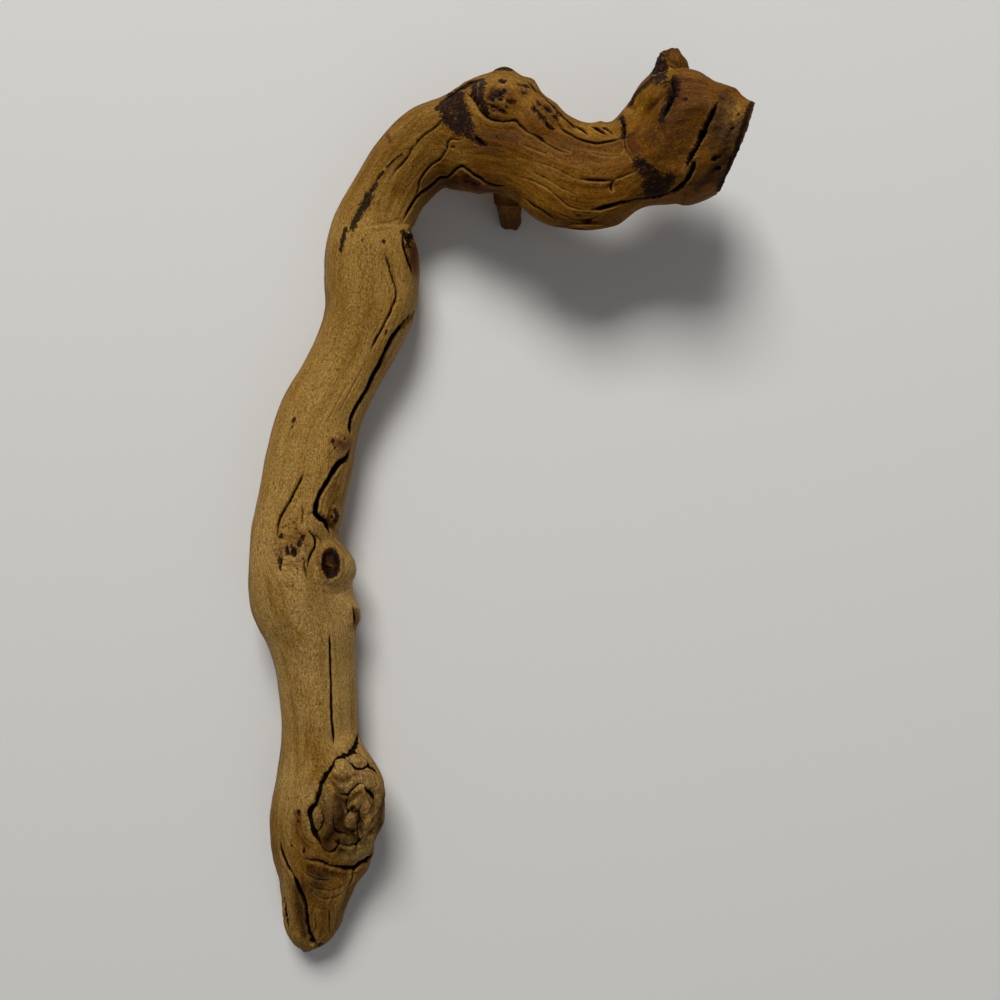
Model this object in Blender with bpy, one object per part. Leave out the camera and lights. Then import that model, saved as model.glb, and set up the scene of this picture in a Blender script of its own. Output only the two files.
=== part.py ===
# A piece of driftwood: one crooked length of weathered vine wood, lying on three low points.
#
# The trunk is a set of cross-sections carried along a bent path, from its narrow foot tip, past a burl,
# a swollen knot and a bend, round a crook and up a raised arm to a broken end. A short spur (the fang) and
# a broken peg grow from the arm. The drying splits and the knot hole are cut into the solid.
#
# Sizes are in millimetres, and become metres when a mesh is made. +X is to the right, +Y runs from the foot
# to the arm, +Z is up, and the floor is z = 0 under the middle of the piece.

from collections import namedtuple
import math

import bmesh
import bpy
import numpy as np
from mathutils import Vector
from mathutils.bvhtree import BVHTree

METRES = 0.001
NAME = "driftwood"

# What lies on the upper face is placed as it is seen from EYE, at its size on the plane z = SIGHT_PLANE.
EYE = np.array([4.0, 10.0, 600.0])
SIGHT_PLANE = 22.0

RING_STEP = 5.6
SIDES = 36
SECTION_POWER = 2.3
LOBES = (3, 0.020, 0.011), (5, 0.014, -0.017)

Station = namedtuple("Station", "x y z left right up down")
Split = namedtuple("Split", "name line width depth")
Swell = namedtuple("Swell", "u v across along height push_x push_z")

# The path's points, and how far the wood reaches from each to the left, right, top and bottom.
STATIONS = [
    Station(-94.5, -218.0, 11, 2.5, 2.5, 5, 5),          # foot tip
    Station(-93.5, -211.0, 13, 10.5, 11, 10, 9),
    Station(-91.5, -203.0, 14, 14, 14.5, 12, 11),
    Station(-89.0, -192.0, 16, 16.5, 16, 14, 13),
    Station(-87.0, -181.5, 17, 19.5, 19, 16, 15),
    Station(-86.5, -168.5, 18, 22.5, 22, 18, 17),
    Station(-87.5, -150.5, 20, 23, 22, 19, 22.5),        # rests under the burl
    Station(-86.5, -130.0, 21, 21, 20.5, 19, 19),
    Station(-86.0, -112.5, 21, 19, 19, 17.5, 17),
    Station(-86.5, -90.0, 22, 19, 19, 17.5, 16.5),       # lower stem
    Station(-88.5, -70.0, 23, 20, 20, 18, 17),
    Station(-90.5, -55.0, 24, 22.5, 22, 20, 18),
    Station(-95.0, -39.5, 25, 25, 23, 22, 20),
    Station(-96.5, -25.0, 25, 24.5, 22.5, 23, 20),       # swollen knot
    Station(-98.5, -10.0, 25, 21.5, 21.5, 21, 19.5),
    Station(-95.5, 10.0, 24, 21, 21, 20, 19),
    Station(-91.5, 30.0, 23, 21.5, 21.5, 20, 19),
    Station(-87.0, 50.0, 22, 20.5, 20.5, 19.5, 19),
    Station(-77.5, 70.0, 21, 19, 19, 19, 19),
    Station(-67.5, 90.0, 21, 19.5, 20, 19.5, 19.5),      # upper stem
    Station(-61.5, 105.0, 22, 22, 22, 21, 21),
    Station(-60.0, 120.0, 22, 23.5, 23.5, 22, 22.7),     # rests under the bend
    Station(-60.0, 135.0, 23, 22.5, 23, 21, 22),
    Station(-59.0, 145.5, 24, 20, 19.5, 17, 19),
    Station(-53.0, 159.0, 26, 17.5, 18, 16, 17),         # crook
    Station(-44.0, 172.5, 29, 17.5, 19, 17, 18),
    Station(-31.5, 183.0, 32, 18.5, 21, 19, 19),
    Station(-18.0, 186.5, 36, 19.5, 25.5, 21, 21),
    Station(-5.5, 187.5, 39, 26, 28.5, 23, 21),          # crest
    Station(9.0, 184.5, 43, 29, 28, 23, 20),
    Station(23.0, 177.5, 46, 20, 26.5, 21, 20),
    Station(36.5, 170.5, 49, 18.5, 30.5, 20, 20),        # arm
    Station(51.5, 167.5, 51, 20.5, 29.5, 20, 20),
    Station(63.0, 170.5, 53, 18, 23.5, 20, 20),
    Station(73.5, 175.0, 56, 23.5, 27.5, 22, 21),        # end block
    Station(83.0, 178.5, 58, 31, 30, 24, 22),
    Station(93.5, 179.5, 60, 29.5, 30.5, 25, 23),
    Station(104.0, 180.5, 61, 23.5, 25.5, 25, 23),
    Station(113.5, 183.0, 61, 16.5, 15, 24, 22),
    Station(122.0, 184.5, 61, 6.5, 13, 23, 21),
    Station(132.0, 187.0, 61, 4, 12, 22, 20),            # just past the broken end
]

# The broken end is a rough upright face through this point, facing outwards along the arm.
END_POINT = np.array([113.5, 175.0])
END_FACING = np.array([0.94, -0.34])
END_RELIEF = 1.5
END_BLEND = 45.0
END_INSETS = (0.8, 0.5, 0.2)

# Lumps: where each is centred, its half-sizes, and how far it is pushed out and which way.
BURL = Swell(-71, -143, 20, 29, 18, 0.78, 0.62)
LUMPS = [
    Swell(-76, -23, 12, 13, 7.5, 0.85, 0.5),             # lobe round the knot hole
    Swell(-69.5, -47, 5, 7, 4, 0.95, 0.2),               # ear below it
    Swell(3.5, 212, 12, 12, 5.5, -0.1, 0.9),             # first crest knot
    Swell(26, 202.5, 10, 10, 3.0, -0.1, 1.0),            # second crest knot
    Swell(-76, 38, 8, 9, 2.5, 0.3, 0.9),                 # small knot on the stem
    Swell(-96.5, -12.5, 12, 13, 2.0, 0.0, 1.0),          # knot cluster
]

# The step across the stem under the crook: the wood below it stands higher, and falls away down the stem.
LEDGE_V = 146.5
LEDGE_FROM_U = -64.0
LEDGE_RISE = 4.5
LEDGE_FADE = 32.0

# The flat slab on top of the end block, and the scoop beside it that runs up to the fang.
SLAB_CENTRE = (88.0, 190.0)
SLAB_REACH = 17.0
SLAB_TOP = 79.0
SLAB_FALL = (-0.22, 0.30)
SCOOP = Swell(74, 203, 9, 12, -5, -0.3, 0.9)

# The splits of the upper face: widest gap, and depth at its middle.
SPLITS = [
    Split("foot_cleft", [(-89, -212.5), (-92.5, -203.5), (-94.5, -192), (-96.5, -184), (-100.5, -176.5),
                         (-103.5, -169), (-106, -162.5), (-107.5, -153.5)], 1.8, 6),
    Split("burl_left", [(-80, -119), (-86, -132), (-88, -140), (-91.5, -144), (-90.5, -152.5), (-87.5, -159),
                        (-85, -166.5)], 2.2, 6),
    Split("burl_bottom", [(-94.5, -169.5), (-88.5, -170), (-81, -173), (-73.5, -173.5), (-67.5, -172.5),
                          (-60.5, -166.5)], 2.2, 6),
    Split("burl_top", [(-79, -119), (-73.5, -116), (-67.5, -112)], 2.2, 5),
    Split("low_split", [(-80, -111), (-80, -100), (-80, -85), (-80.5, -70), (-81, -60.5)], 1.2, 4.5),
    Split("knot_right", [(-94.5, 6.5), (-94, 2), (-91.5, -4.5), (-88.5, -10.5), (-91, -18.5), (-92.5, -25),
                         (-91.5, -31)], 1.2, 3),
    Split("left_slant", [(-93.5, 25), (-98, 16), (-104, 5.5), (-107, -4)], 1.2, 4),
    Split("strip_gap", [(-71, 34.5), (-76, 27.5), (-82.3, 19.5), (-87, 10), (-87.3, 2.5), (-82, -2.5),
                        (-80, -10)], 3.2, 9),
    Split("edge_split", [(-43, 99), (-49.5, 92), (-55.5, 80), (-61.5, 68), (-67.5, 56.5), (-71, 47),
                         (-70.5, 42)], 1.8, 8),
    Split("right_long", [(-53.5, 131), (-50, 122.5), (-48, 112.5), (-53.5, 98.5), (-60.5, 84.5)], 1.2, 5),
    Split("arch_left", [(-51, 171), (-40.5, 186), (-28, 196.5)], 1.2, 4),
    Split("arch_low", [(-42, 149), (-35, 161.5), (-28, 170), (-16, 176.5), (-10.5, 172), (-1.5, 167),
                       (7, 167)], 1.8, 4.5),
    Split("crest", [(-11, 213.5), (-5.5, 205), (2.5, 200), (12, 199), (28, 190), (38, 184.5)], 1.8, 5),
    Split("crest_low", [(34, 197.5), (42, 190.5), (54, 188.5), (66, 190.5), (77.5, 200)], 1.2, 3),
    Split("block_split", [(114, 214.5), (106.5, 194.5), (99.8, 180), (96, 169), (90, 164)], 2.4, 10),
    Split("arm_edge", [(90, 162.5), (74, 159.5), (61, 156.5), (52, 155)], 1.6, 4),
]

# Two splits that run along the underside, given in plan and cut upwards.
UNDER_SPLITS = [
    Split("under_stem", [(-92, -95), (-95, -60), (-99, -30), (-96, 5), (-88, 40)], 1.6, 6),
    Split("under_arm", [(-30, 176), (-8, 184), (20, 172), (50, 163), (80, 174)], 1.8, 6),
]
SPLIT_STEP = 6.5
SPLIT_PROUD = 2.5
SPLIT_TAPER = 0.45

# The hole of the fallen branch in the middle of the lobe: where it is, its half-sizes and depth.
KNOT_HOLE = (-81, -21.5)
KNOT_HOLE_SIZE = (4.2, 6.2, 6.5)

# The fang's path from inside the end block to its tip, with its half-width and half-thickness.
FANG = [(82.5, 194, 62, 14, 13), (81.5, 204, 63, 11, 10), (81.0, 210, 63.5, 8, 7.5), (81.5, 215, 64, 6, 5.5),
        (82.0, 218, 64, 3.5, 3.5)]
FANG_SIDES = 14

# The peg's path from the floor up into the arm, with its half-widths.
PEG = [(9.0, 156.0, 0, 4.8, 5.6), (9.0, 156.0, 1.2, 5.4, 6.2), (8.8, 156.5, 12, 5.6, 6.4),
       (8.6, 158.0, 22, 6.2, 7), (8.2, 160.0, 29, 7.6, 9), (8.0, 162.5, 36, 10, 11)]
PEG_SIDES = 16

COLOUR = (0.26, 0.15, 0.05, 1.0)
ROUGHNESS = 0.78


def smooth(low, high, value):
    # 0 below low, 1 above high, and an S-curve between.
    share = np.clip((np.asarray(value, float) - low) / (high - low), 0.0, 1.0)
    return share * share * (3.0 - 2.0 * share)


def along_curve(knots, values, at):
    # A cubic through the values at the knots, with the slope at each knot taken from its two neighbours.
    slopes = np.gradient(values, knots, axis=0)
    i = np.clip(np.searchsorted(knots, at, side="right") - 1, 0, len(knots) - 2)
    span = (knots[i + 1] - knots[i])[:, None]
    t = (at - knots[i])[:, None] / span
    return ((2 * t**3 - 3 * t**2 + 1) * values[i] + (t**3 - 2 * t**2 + t) * span * slopes[i]
            + (3 * t**2 - 2 * t**3) * values[i + 1] + (t**3 - t**2) * span * slopes[i + 1])


def sighted(points):
    # Where each point is seen from EYE, on the plane z = SIGHT_PLANE.
    reach = (EYE[2] - SIGHT_PLANE) / (EYE[2] - points[..., 2:3])
    return EYE[:2] + (points[..., :2] - EYE[:2]) * reach


def distance_along(points):
    return np.concatenate([[0.0], np.cumsum(np.linalg.norm(np.diff(points, axis=0), axis=1))])


def new_object(name, vertices, faces):
    mesh = bpy.data.meshes.new(name)
    mesh.from_pydata([tuple(v) for v in np.asarray(vertices) * METRES], [], faces)
    shape = bmesh.new()
    shape.from_mesh(mesh)
    bmesh.ops.recalc_face_normals(shape, faces=shape.faces)
    shape.to_mesh(mesh)
    shape.free()
    made = bpy.data.objects.new(name, mesh)
    bpy.context.scene.collection.objects.link(made)
    return made


def loft(name, rings):
    # Joins rings of points, all with the same number of sides, and closes both ends with a fan.
    count, sides, _ = rings.shape
    vertices = np.concatenate([rings.reshape(-1, 3), [rings[0].mean(axis=0), rings[-1].mean(axis=0)]])
    faces = []
    for ring in range(count - 1):
        for side in range(sides):
            a = ring * sides + side
            b = ring * sides + (side + 1) % sides
            faces.append((a, b, b + sides, a + sides))
    first, last = count * sides, count * sides + 1
    for side in range(sides):
        after = (side + 1) % sides
        faces.append((after, side, first))
        faces.append(((count - 1) * sides + side, (count - 1) * sides + after, last))
    return new_object(name, vertices, faces)


def push_out(points, upper, lump):
    # A smooth bump, full at the lump's centre and gone at its edge.
    seen = sighted(points)
    far = np.hypot((seen[..., 0] - lump.u) / lump.across, (seen[..., 1] - lump.v) / lump.along)
    amount = lump.height * upper * (1 - smooth(0.15, 1.15, far))
    return points + amount[..., None] * np.array([lump.push_x, 0.0, lump.push_z])


def add_burl(points, upper):
    # A flat-topped lump with steep sides.
    seen = sighted(points)
    far = np.hypot((seen[..., 0] - BURL.u) / BURL.across, (seen[..., 1] - BURL.v) / BURL.along)
    amount = BURL.height * upper * (1 - smooth(0.55, 1.12, far))
    return points + amount[..., None] * np.array([BURL.push_x, 0.0, BURL.push_z])


def add_ledge(points, upper):
    seen = sighted(points)
    below = smooth(LEDGE_V + 1.5, LEDGE_V - 1.5, seen[..., 1]) * smooth(LEDGE_V - LEDGE_FADE, LEDGE_V, seen[..., 1])
    beside = smooth(LEDGE_FROM_U - 8, LEDGE_FROM_U + 4, seen[..., 0])
    points = points.copy()
    points[..., 2] += LEDGE_RISE * upper * below * beside
    return points


def flatten_slab(points, upper):
    # The top of the end block is planed down on to a sloping plane.
    seen = sighted(points)
    inside = upper * smooth(SLAB_REACH + 4, SLAB_REACH - 4, np.hypot(seen[..., 0] - SLAB_CENTRE[0],
                                                                  seen[..., 1] - SLAB_CENTRE[1]))
    plane = (SLAB_TOP + SLAB_FALL[0] * (points[..., 0] - SLAB_CENTRE[0])
             + SLAB_FALL[1] * (points[..., 1] - SLAB_CENTRE[1]))
    points = points.copy()
    points[..., 2] -= inside * np.maximum(points[..., 2] - plane, 0.0)
    return points


def trunk_rings():
    # The superellipse sections on the path, with their lobes, lumps, ledge, slab, broken end and flat feet.
    stations = np.array(STATIONS, float)
    knots = distance_along(stations[:, :3])
    rings = int(round(knots[-1] / RING_STEP)) + 1
    at = np.linspace(0.0, knots[-1], rings)
    x, y, z, left, right, up, down = along_curve(knots, stations, at).T[:, :, None]
    run = np.gradient(np.hstack([x, y]), axis=0)
    run /= np.linalg.norm(run, axis=1, keepdims=True)

    angle = np.linspace(0.0, 2 * math.pi, SIDES, endpoint=False)[None, :]
    cos, sin = np.cos(angle), np.sin(angle)
    side = np.where(cos > 0, left, right) * np.sign(cos) * np.abs(cos) ** (2 / SECTION_POWER)
    rise = np.where(sin > 0, up, down) * np.sign(sin) * np.abs(sin) ** (2 / SECTION_POWER)
    swell = 1.0
    for count, amount, twist in LOBES:
        swell = swell + amount * np.cos(count * angle + twist * at[:, None])
    side, rise = side * swell, rise * swell
    points = np.stack([x - run[:, 1:2] * side, y + run[:, 0:1] * side, z + rise], axis=-1)

    upper = smooth(-0.9, 0.1, rise / np.where(sin > 0, up, down))
    points = add_burl(points, upper)
    for lump in LUMPS + [SCOOP]:
        points = push_out(points, upper, lump)
    points = add_ledge(points, upper)
    points = flatten_slab(points, upper)

    points = broken_off(points, at)
    points[..., 2] = np.maximum(points[..., 2], 0.0)
    return points, np.hstack([x, y, z])


def broken_off(points, at):
    # Slides the last rings along their own sides until the last one lies on the broken face, and fills that
    # face with smaller rings, pushed in and out a little.
    beyond = (points[..., :2] - END_POINT) @ END_FACING
    past = np.argmax(beyond > 0, axis=0)
    column = np.arange(points.shape[1])
    before, after = beyond[past - 1, column], beyond[past, column]
    stop = at[past - 1] + (at[past] - at[past - 1]) * before / (before - after)
    begin = at[-1] - END_BLEND
    slid = np.where(at[:, None] < begin, at[:, None],
                    begin + (at[:, None] - begin) * (stop - begin)[None, :] / END_BLEND)
    place = slid / (at[1] - at[0])
    low = np.minimum(place.astype(int), len(at) - 2)
    share = (place - low)[..., None]
    points = points[low, column] * (1 - share) + points[low + 1, column] * share

    rim = points[-1]
    centre = rim.mean(axis=0)
    face = []
    for inset in END_INSETS:
        ring = centre + (rim - centre) * inset
        push = END_RELIEF * np.sin(0.35 * ring[:, 2] + 4 * inset) * np.cos(0.25 * ring[:, 1])
        ring[:, :2] -= push[:, None] * END_FACING
        face.append(ring)
    return np.concatenate([points, face])


def round_loft(name, path, sides, upright):
    # A tapering limb: an ellipse round each point, level where the limb stands, and upright where it lies.
    path = np.array(path, float)
    angle = np.linspace(0.0, 2 * math.pi, sides, endpoint=False)
    rings = np.repeat(path[:, None, :3], sides, axis=1)
    rings[:, :, 0] += path[:, None, 3] * np.cos(angle)
    rings[:, :, 1 if upright else 2] += path[:, None, 4] * np.sin(angle)
    return loft(name, rings)


def wedge(split, bark, axis, below=False):
    # A V-shaped blade that follows the line over the surface, points at the trunk's axis and dies away at its ends.
    line = np.array(split.line, float)
    knots = distance_along(line)
    stops = max(4, int(round(knots[-1] / SPLIT_STEP)) + 1)
    at = np.linspace(0.0, knots[-1], stops)
    seen = along_curve(knots, line, at)
    hits = []
    for u, v in seen:
        if below:
            start, aim = Vector((u, v, -50.0)), Vector((0, 0, 1))
        else:
            start = Vector(EYE)
            aim = Vector((u, v, SIGHT_PLANE)) - start
        hits.append(bark.ray_cast(start * METRES, aim.normalized())[0] / METRES)
    hits = np.array(hits)
    nearest = axis[np.argmin(np.linalg.norm(hits[:, None] - axis[None], axis=2), axis=1)]
    inward = nearest - hits
    inward /= np.linalg.norm(inward, axis=1, keepdims=True)
    run = np.gradient(hits, axis=0)
    across = np.cross(run, inward)
    across /= np.linalg.norm(across, axis=1, keepdims=True)

    share = at / at[-1]
    full = np.minimum(1.0, np.minimum(share, 1 - share) / SPLIT_TAPER + 0.35)
    half = (split.width / 2 * full * (1 + SPLIT_PROUD / (split.depth * full)))[:, None]
    lift = hits - inward * SPLIT_PROUD
    keel = hits + inward * (split.depth * full)[:, None]
    rings = np.stack([lift + across * half, lift - across * half, keel], axis=1)[1:-1]
    vertices = np.concatenate([rings.reshape(-1, 3), lift[:1], lift[-1:]])
    faces = []
    count = len(rings)
    for ring in range(count - 1):
        for side in range(3):
            a = ring * 3 + side
            b = ring * 3 + (side + 1) % 3
            faces.append((a, b, b + 3, a + 3))
    for side in range(3):
        after = (side + 1) % 3
        faces.append((after, side, count * 3))
        faces.append(((count - 1) * 3 + side, (count - 1) * 3 + after, count * 3 + 1))
    return new_object(split.name, vertices, faces)


def knot_hole(bark):
    # An egg-shaped cutter sunk into the lobe.
    aim = Vector((*KNOT_HOLE, SIGHT_PLANE)) - Vector(EYE)
    spot = bark.ray_cast(Vector(EYE) * METRES, aim.normalized())[0]
    shape = bmesh.new()
    bmesh.ops.create_uvsphere(shape, u_segments=16, v_segments=8, radius=1.0)
    mesh = bpy.data.meshes.new("knot_hole")
    shape.to_mesh(mesh)
    shape.free()
    hole = bpy.data.objects.new("knot_hole", mesh)
    hole.location = spot
    hole.scale = [size * METRES for size in KNOT_HOLE_SIZE]
    bpy.context.scene.collection.objects.link(hole)
    return hole


def joined_by(trunk, name, operation, helpers):
    # One Boolean on a collection of helpers, which stay in the file as wire guides.
    group = bpy.data.collections.new(name)
    bpy.context.scene.collection.children.link(group)
    for helper in helpers:
        bpy.context.scene.collection.objects.unlink(helper)
        group.objects.link(helper)
        helper.hide_render = True
        helper.display_type = "WIRE"
    step = trunk.modifiers.new(name, "BOOLEAN")
    step.operation = operation
    step.operand_type = "COLLECTION"
    step.collection = group
    step.solver = "EXACT"


def wood_material():
    wood = bpy.data.materials.new("weathered_wood")
    wood.use_nodes = True
    shader = wood.node_tree.nodes["Principled BSDF"]
    shader.inputs["Base Color"].default_value = COLOUR
    shader.inputs["Roughness"].default_value = ROUGHNESS
    shader.inputs["Metallic"].default_value = 0.0
    return wood


def main():
    for leftover in list(bpy.data.objects):
        bpy.data.objects.remove(leftover, do_unlink=True)

    rings, axis = trunk_rings()
    trunk = loft(NAME, rings)
    mesh = trunk.data
    bark = BVHTree.FromPolygons([v.co for v in mesh.vertices], [p.vertices for p in mesh.polygons])

    growths = [round_loft("fang", FANG, FANG_SIDES, upright=False), round_loft("peg", PEG, PEG_SIDES, upright=True)]
    joined_by(trunk, "growths", "UNION", growths)
    cutters = [wedge(split, bark, axis) for split in SPLITS]
    cutters += [wedge(split, bark, axis, below=True) for split in UNDER_SPLITS]
    cutters.append(knot_hole(bark))
    joined_by(trunk, "splits", "DIFFERENCE", cutters)

    mesh.shade_smooth()
    mesh.set_sharp_from_angle(angle=math.radians(40))
    mesh.materials.append(wood_material())


main()
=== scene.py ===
# A crooked piece of weathered vine driftwood, lying on a plain pale floor.
#
# Shapes are worked out in millimetres, as whole numpy arrays, and become metres when a mesh is made. Marks on the
# upper side are placed where the camera sees them, in the picture's own steps: 1000 across, counted from its top
# left corner. Each step is half a millimetre on the level plane 22 mm above the floor.

import math

import bpy
import numpy as np
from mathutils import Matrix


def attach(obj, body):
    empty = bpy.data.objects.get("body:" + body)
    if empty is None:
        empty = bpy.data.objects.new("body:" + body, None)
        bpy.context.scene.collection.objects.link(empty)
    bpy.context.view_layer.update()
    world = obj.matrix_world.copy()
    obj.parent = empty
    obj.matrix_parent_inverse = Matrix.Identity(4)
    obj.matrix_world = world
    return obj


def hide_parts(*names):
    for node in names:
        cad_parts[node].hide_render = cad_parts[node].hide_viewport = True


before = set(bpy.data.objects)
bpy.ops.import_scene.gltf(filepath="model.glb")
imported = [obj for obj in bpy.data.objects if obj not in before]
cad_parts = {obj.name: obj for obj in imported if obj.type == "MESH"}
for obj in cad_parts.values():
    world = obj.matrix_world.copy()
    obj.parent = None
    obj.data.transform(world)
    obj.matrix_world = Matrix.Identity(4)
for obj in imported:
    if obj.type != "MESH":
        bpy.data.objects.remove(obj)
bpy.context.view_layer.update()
metres = 0.001

# The camera looks straight down from here, and takes in a 250 mm half-width at the plane of the places.
camera = {
    "eye": (4.0, 10.0, 600.0),
    "plane": 22.0,
    "halfWidth": 250.0,
    "sensor": 36.0,
    "pictureSteps": 1000,
}

driftwood = {
    "ringSteps": ((0, 1.5), (40, 1.15), (112, 1.15), (125, 2.2), (160, 2), (172, 1.15), (255, 1.15), (275, 2),
                  (360, 2), (367, 0.9), (382, 0.9), (390, 1.3), (600, 1.2)),
    "columns": 205,
    "upperShare": 0.45,          # how much closer the columns stand on the upper side
    "sectionPower": 2.3,
    "lobes": ((3, 0.020, 0.011), (5, 0.014, -0.017)),
    "turnReach": 5.6,            # the path's direction is taken over this far on either side
    # x, y, z, then the reach to the left, right, top and bottom.
    "path": (
        (-94.5, -218, 11, 2.5, 2.5, 5, 5), (-93.5, -211, 13, 10.5, 11, 10, 9),
        (-91.5, -203, 14, 14, 14.5, 12, 11), (-89, -192, 16, 16.5, 16, 14, 13),
        (-87, -181.5, 17, 19.5, 19, 16, 15), (-86.5, -168.5, 18, 22.5, 22, 18, 17),
        (-87.5, -150.5, 20, 23, 22, 19, 22.5), (-86.5, -130, 21, 21, 20.5, 19, 19),
        (-86, -112.5, 21, 19, 19, 17.5, 17), (-86.5, -90, 22, 19, 19, 17.5, 16.5),
        (-88.5, -70, 23, 20, 20, 18, 17), (-90.5, -55, 24, 22.5, 22, 20, 18),
        (-95, -39.5, 25, 25, 23, 22, 20), (-96.5, -25, 25, 24.5, 22.5, 23, 20),
        (-98.5, -10, 25, 21.5, 21.5, 21, 19.5), (-95.5, 10, 24, 21, 21, 20, 19),
        (-91.5, 30, 23, 21.5, 21.5, 20, 19), (-87, 50, 22, 20.5, 20.5, 19.5, 19),
        (-77.5, 70, 21, 19, 19, 19, 19), (-67.5, 90, 21, 19.5, 20, 19.5, 19.5),
        (-61.5, 105, 22, 22, 22, 21, 21), (-60, 120, 22, 23.5, 23.5, 22, 22.7),
        (-60, 135, 23, 22.5, 23, 21, 22), (-59, 145.5, 24, 20, 19.5, 17, 19),
        (-53, 159, 26, 17.5, 18, 16, 17), (-44, 172.5, 29, 17.5, 19, 17, 18),
        (-31.5, 183, 32, 18.5, 21, 19, 19), (-18, 186.5, 36, 19.5, 25.5, 21, 21),
        (-5.5, 187.5, 39, 26, 28.5, 23, 21), (9, 184.5, 43, 29, 28, 23, 20),
        (23, 177.5, 46, 20, 26.5, 21, 20), (36.5, 170.5, 49, 18.5, 30.5, 20, 20),
        (51.5, 167.5, 51, 20.5, 29.5, 20, 20), (63, 170.5, 53, 18, 23.5, 20, 20),
        (73.5, 175, 56, 23.5, 27.5, 22, 21), (83, 178.5, 58, 31, 30, 24, 22),
        (93.5, 179.5, 60, 29.5, 30.5, 25, 23), (104, 180.5, 61, 23.5, 25.5, 25, 23),
        (113.5, 183, 61, 16.5, 15, 24, 22), (122, 184.5, 61, 6.5, 13, 23, 21),
        (132, 187, 61, 4, 12, 22, 20),
    ),
    # Lumps: place, half-sizes across and down, height, and the push. The burl has steep sides.
    "burl": (350, 795, 20, 28, 18, (0.76, 0, 0.64)),
    "lumps": (
        (361, 858, 9, 14, 5, (0.9, 0, 0.2)), (551, 84, 12, 10, -3.4, (0.5, 0.85, 0)),
        (503, 67, 7, 6, 2.4, (0, 0.9, 0.3)), (526, 71, 6, 6, -1.8, (0.3, 0.9, 0)),
        (340, 566, 12, 13, 7.5, (0.85, 0, 0.5)), (347, 598, 6, 9, 3.6, (0.95, 0, 0.2)),
        (353, 615, 5, 7, 4, (0.95, 0, 0.2)), (499, 96, 12, 12, 5.5, (-0.1, 0, 0.9)),
        (544, 115, 10, 10, 3, (-0.1, 0, 1)), (340, 444, 8, 9, 2.5, (0.3, 0, 0.9)),
        (299, 545, 12, 13, 2, (0, 0, 1)), (640, 112, 9, 10, -5, (-0.3, 0, 0.9)),
        (749, 98, 9, 9, -1.5, (0.8, 0.5, 0)), (335, 517, 5, 6, 2.6, (0.6, 0, 0.8)),
    ),
    "ledge": {"down": 227, "from": 364, "rise": 4.5, "fade": 32},
    "slab": {"centre": (664, 134), "reach": 23, "top": 84.8, "fall": (-0.05, 0.27),
             "edge": ((720, 97), (688, 164))},
    "end": {"point": (113.5, 175), "facing": (0.94, -0.34), "blend": 45, "rings": 16},
    # Down the path: distance, then how dark the wood is painted, how deep its flutes are and how coarse its fibres.
    "character": (
        (0, 0.50, 1.2, 0.50), (30, 0.54, 1.2, 0.45), (60, 0.50, 0.7, 0.25), (107, 0.30, 0.4, 0.12),
        (130, 0.14, 0.35, 0.10), (180, 0.06, 0.3, 0.09), (210, 0.14, 0.5, 0.14), (250, 0.10, 0.35, 0.09),
        (330, 0.10, 0.3, 0.09), (370, 0.16, 0.35, 0.12), (400, 0.34, 0.5, 0.18), (430, 0.44, 0.8, 0.25),
        (465, 0.56, 1, 0.32), (500, 0.62, 1.2, 0.36), (530, 0.70, 1, 0.32), (560, 0.88, 0.7, 0.28),
        (600, 0.80, 0.8, 0.40),
    ),
}


def smooth(low, high, value):
    # 0 below low, 1 above high, and an S-curve between.
    share = np.clip((np.asarray(value, float) - low) / (high - low), 0.0, 1.0)
    return share * share * (3.0 - 2.0 * share)


def sizes(vectors):
    # The length of each vector.
    return np.linalg.norm(vectors, axis=-1)


def unit(vectors):
    # Each vector divided by its own length.
    return vectors / np.maximum(sizes(vectors), 1e-9)[..., None]


def alongCurve(stops, values, at):
    # A cubic through the values at the stops, with the slope at each stop taken from its two neighbours.
    slopes = np.gradient(values, stops, axis=0)
    i = np.clip(np.searchsorted(stops, at, side="right") - 1, 0, len(stops) - 2)
    span = (stops[i + 1] - stops[i])[:, None]
    t = (at - stops[i])[:, None] / span
    return ((2 * t**3 - 3 * t**2 + 1) * values[i] + (t**3 - 2 * t**2 + t) * span * slopes[i]
            + (3 * t**2 - 2 * t**3) * values[i + 1] + (t**3 - t**2) * span * slopes[i + 1])


def distanceAlong(points):
    # How far along the line each of its points is, as the sum of the steps before it.
    return np.concatenate([[0.0], np.cumsum(sizes(np.diff(points, axis=0)))])


def seenAt(points):
    # Where the camera sees each point, on the level plane of the places.
    eye = np.array(camera["eye"])
    reach = (eye[2] - camera["plane"]) / (eye[2] - points[..., 2:3])
    return eye[:2] + (points[..., :2] - eye[:2]) * reach


def fromPicture(places):
    # Picture steps to millimetres on the level plane of the places.
    step = 2 * camera["halfWidth"] / camera["pictureSteps"]
    places = (np.array(places, float) - camera["pictureSteps"] / 2) * (step, -step)
    return places + np.array(camera["eye"][:2])


dice = np.random.default_rng(7)
shuffled = dice.permutation(256)
leanings = unit(dice.normal(size=(256, 3)))


def noise(where, seed=0):
    # Gradient noise, about -0.7 to 0.7: each corner of a unit cube leans in a shuffled direction, and the
    # eight leanings are blended by an S-curve.
    where = np.asarray(where, float) + 31.7 * seed
    cell = np.floor(where).astype(int)
    part = where - cell
    fade = part**3 * (part * (part * 6 - 15) + 10)
    total = 0.0
    for corner in range(8):
        step = np.array([corner & 1, corner >> 1 & 1, corner >> 2 & 1])
        at = (cell + step) & 255
        pick = shuffled[(shuffled[(shuffled[at[..., 0]] + at[..., 1]) & 255] + at[..., 2]) & 255]
        share = np.prod(np.where(step == 1, fade, 1 - fade), axis=-1)
        total = total + share * np.sum(leanings[pick] * (part - step), axis=-1)
    return total


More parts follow.
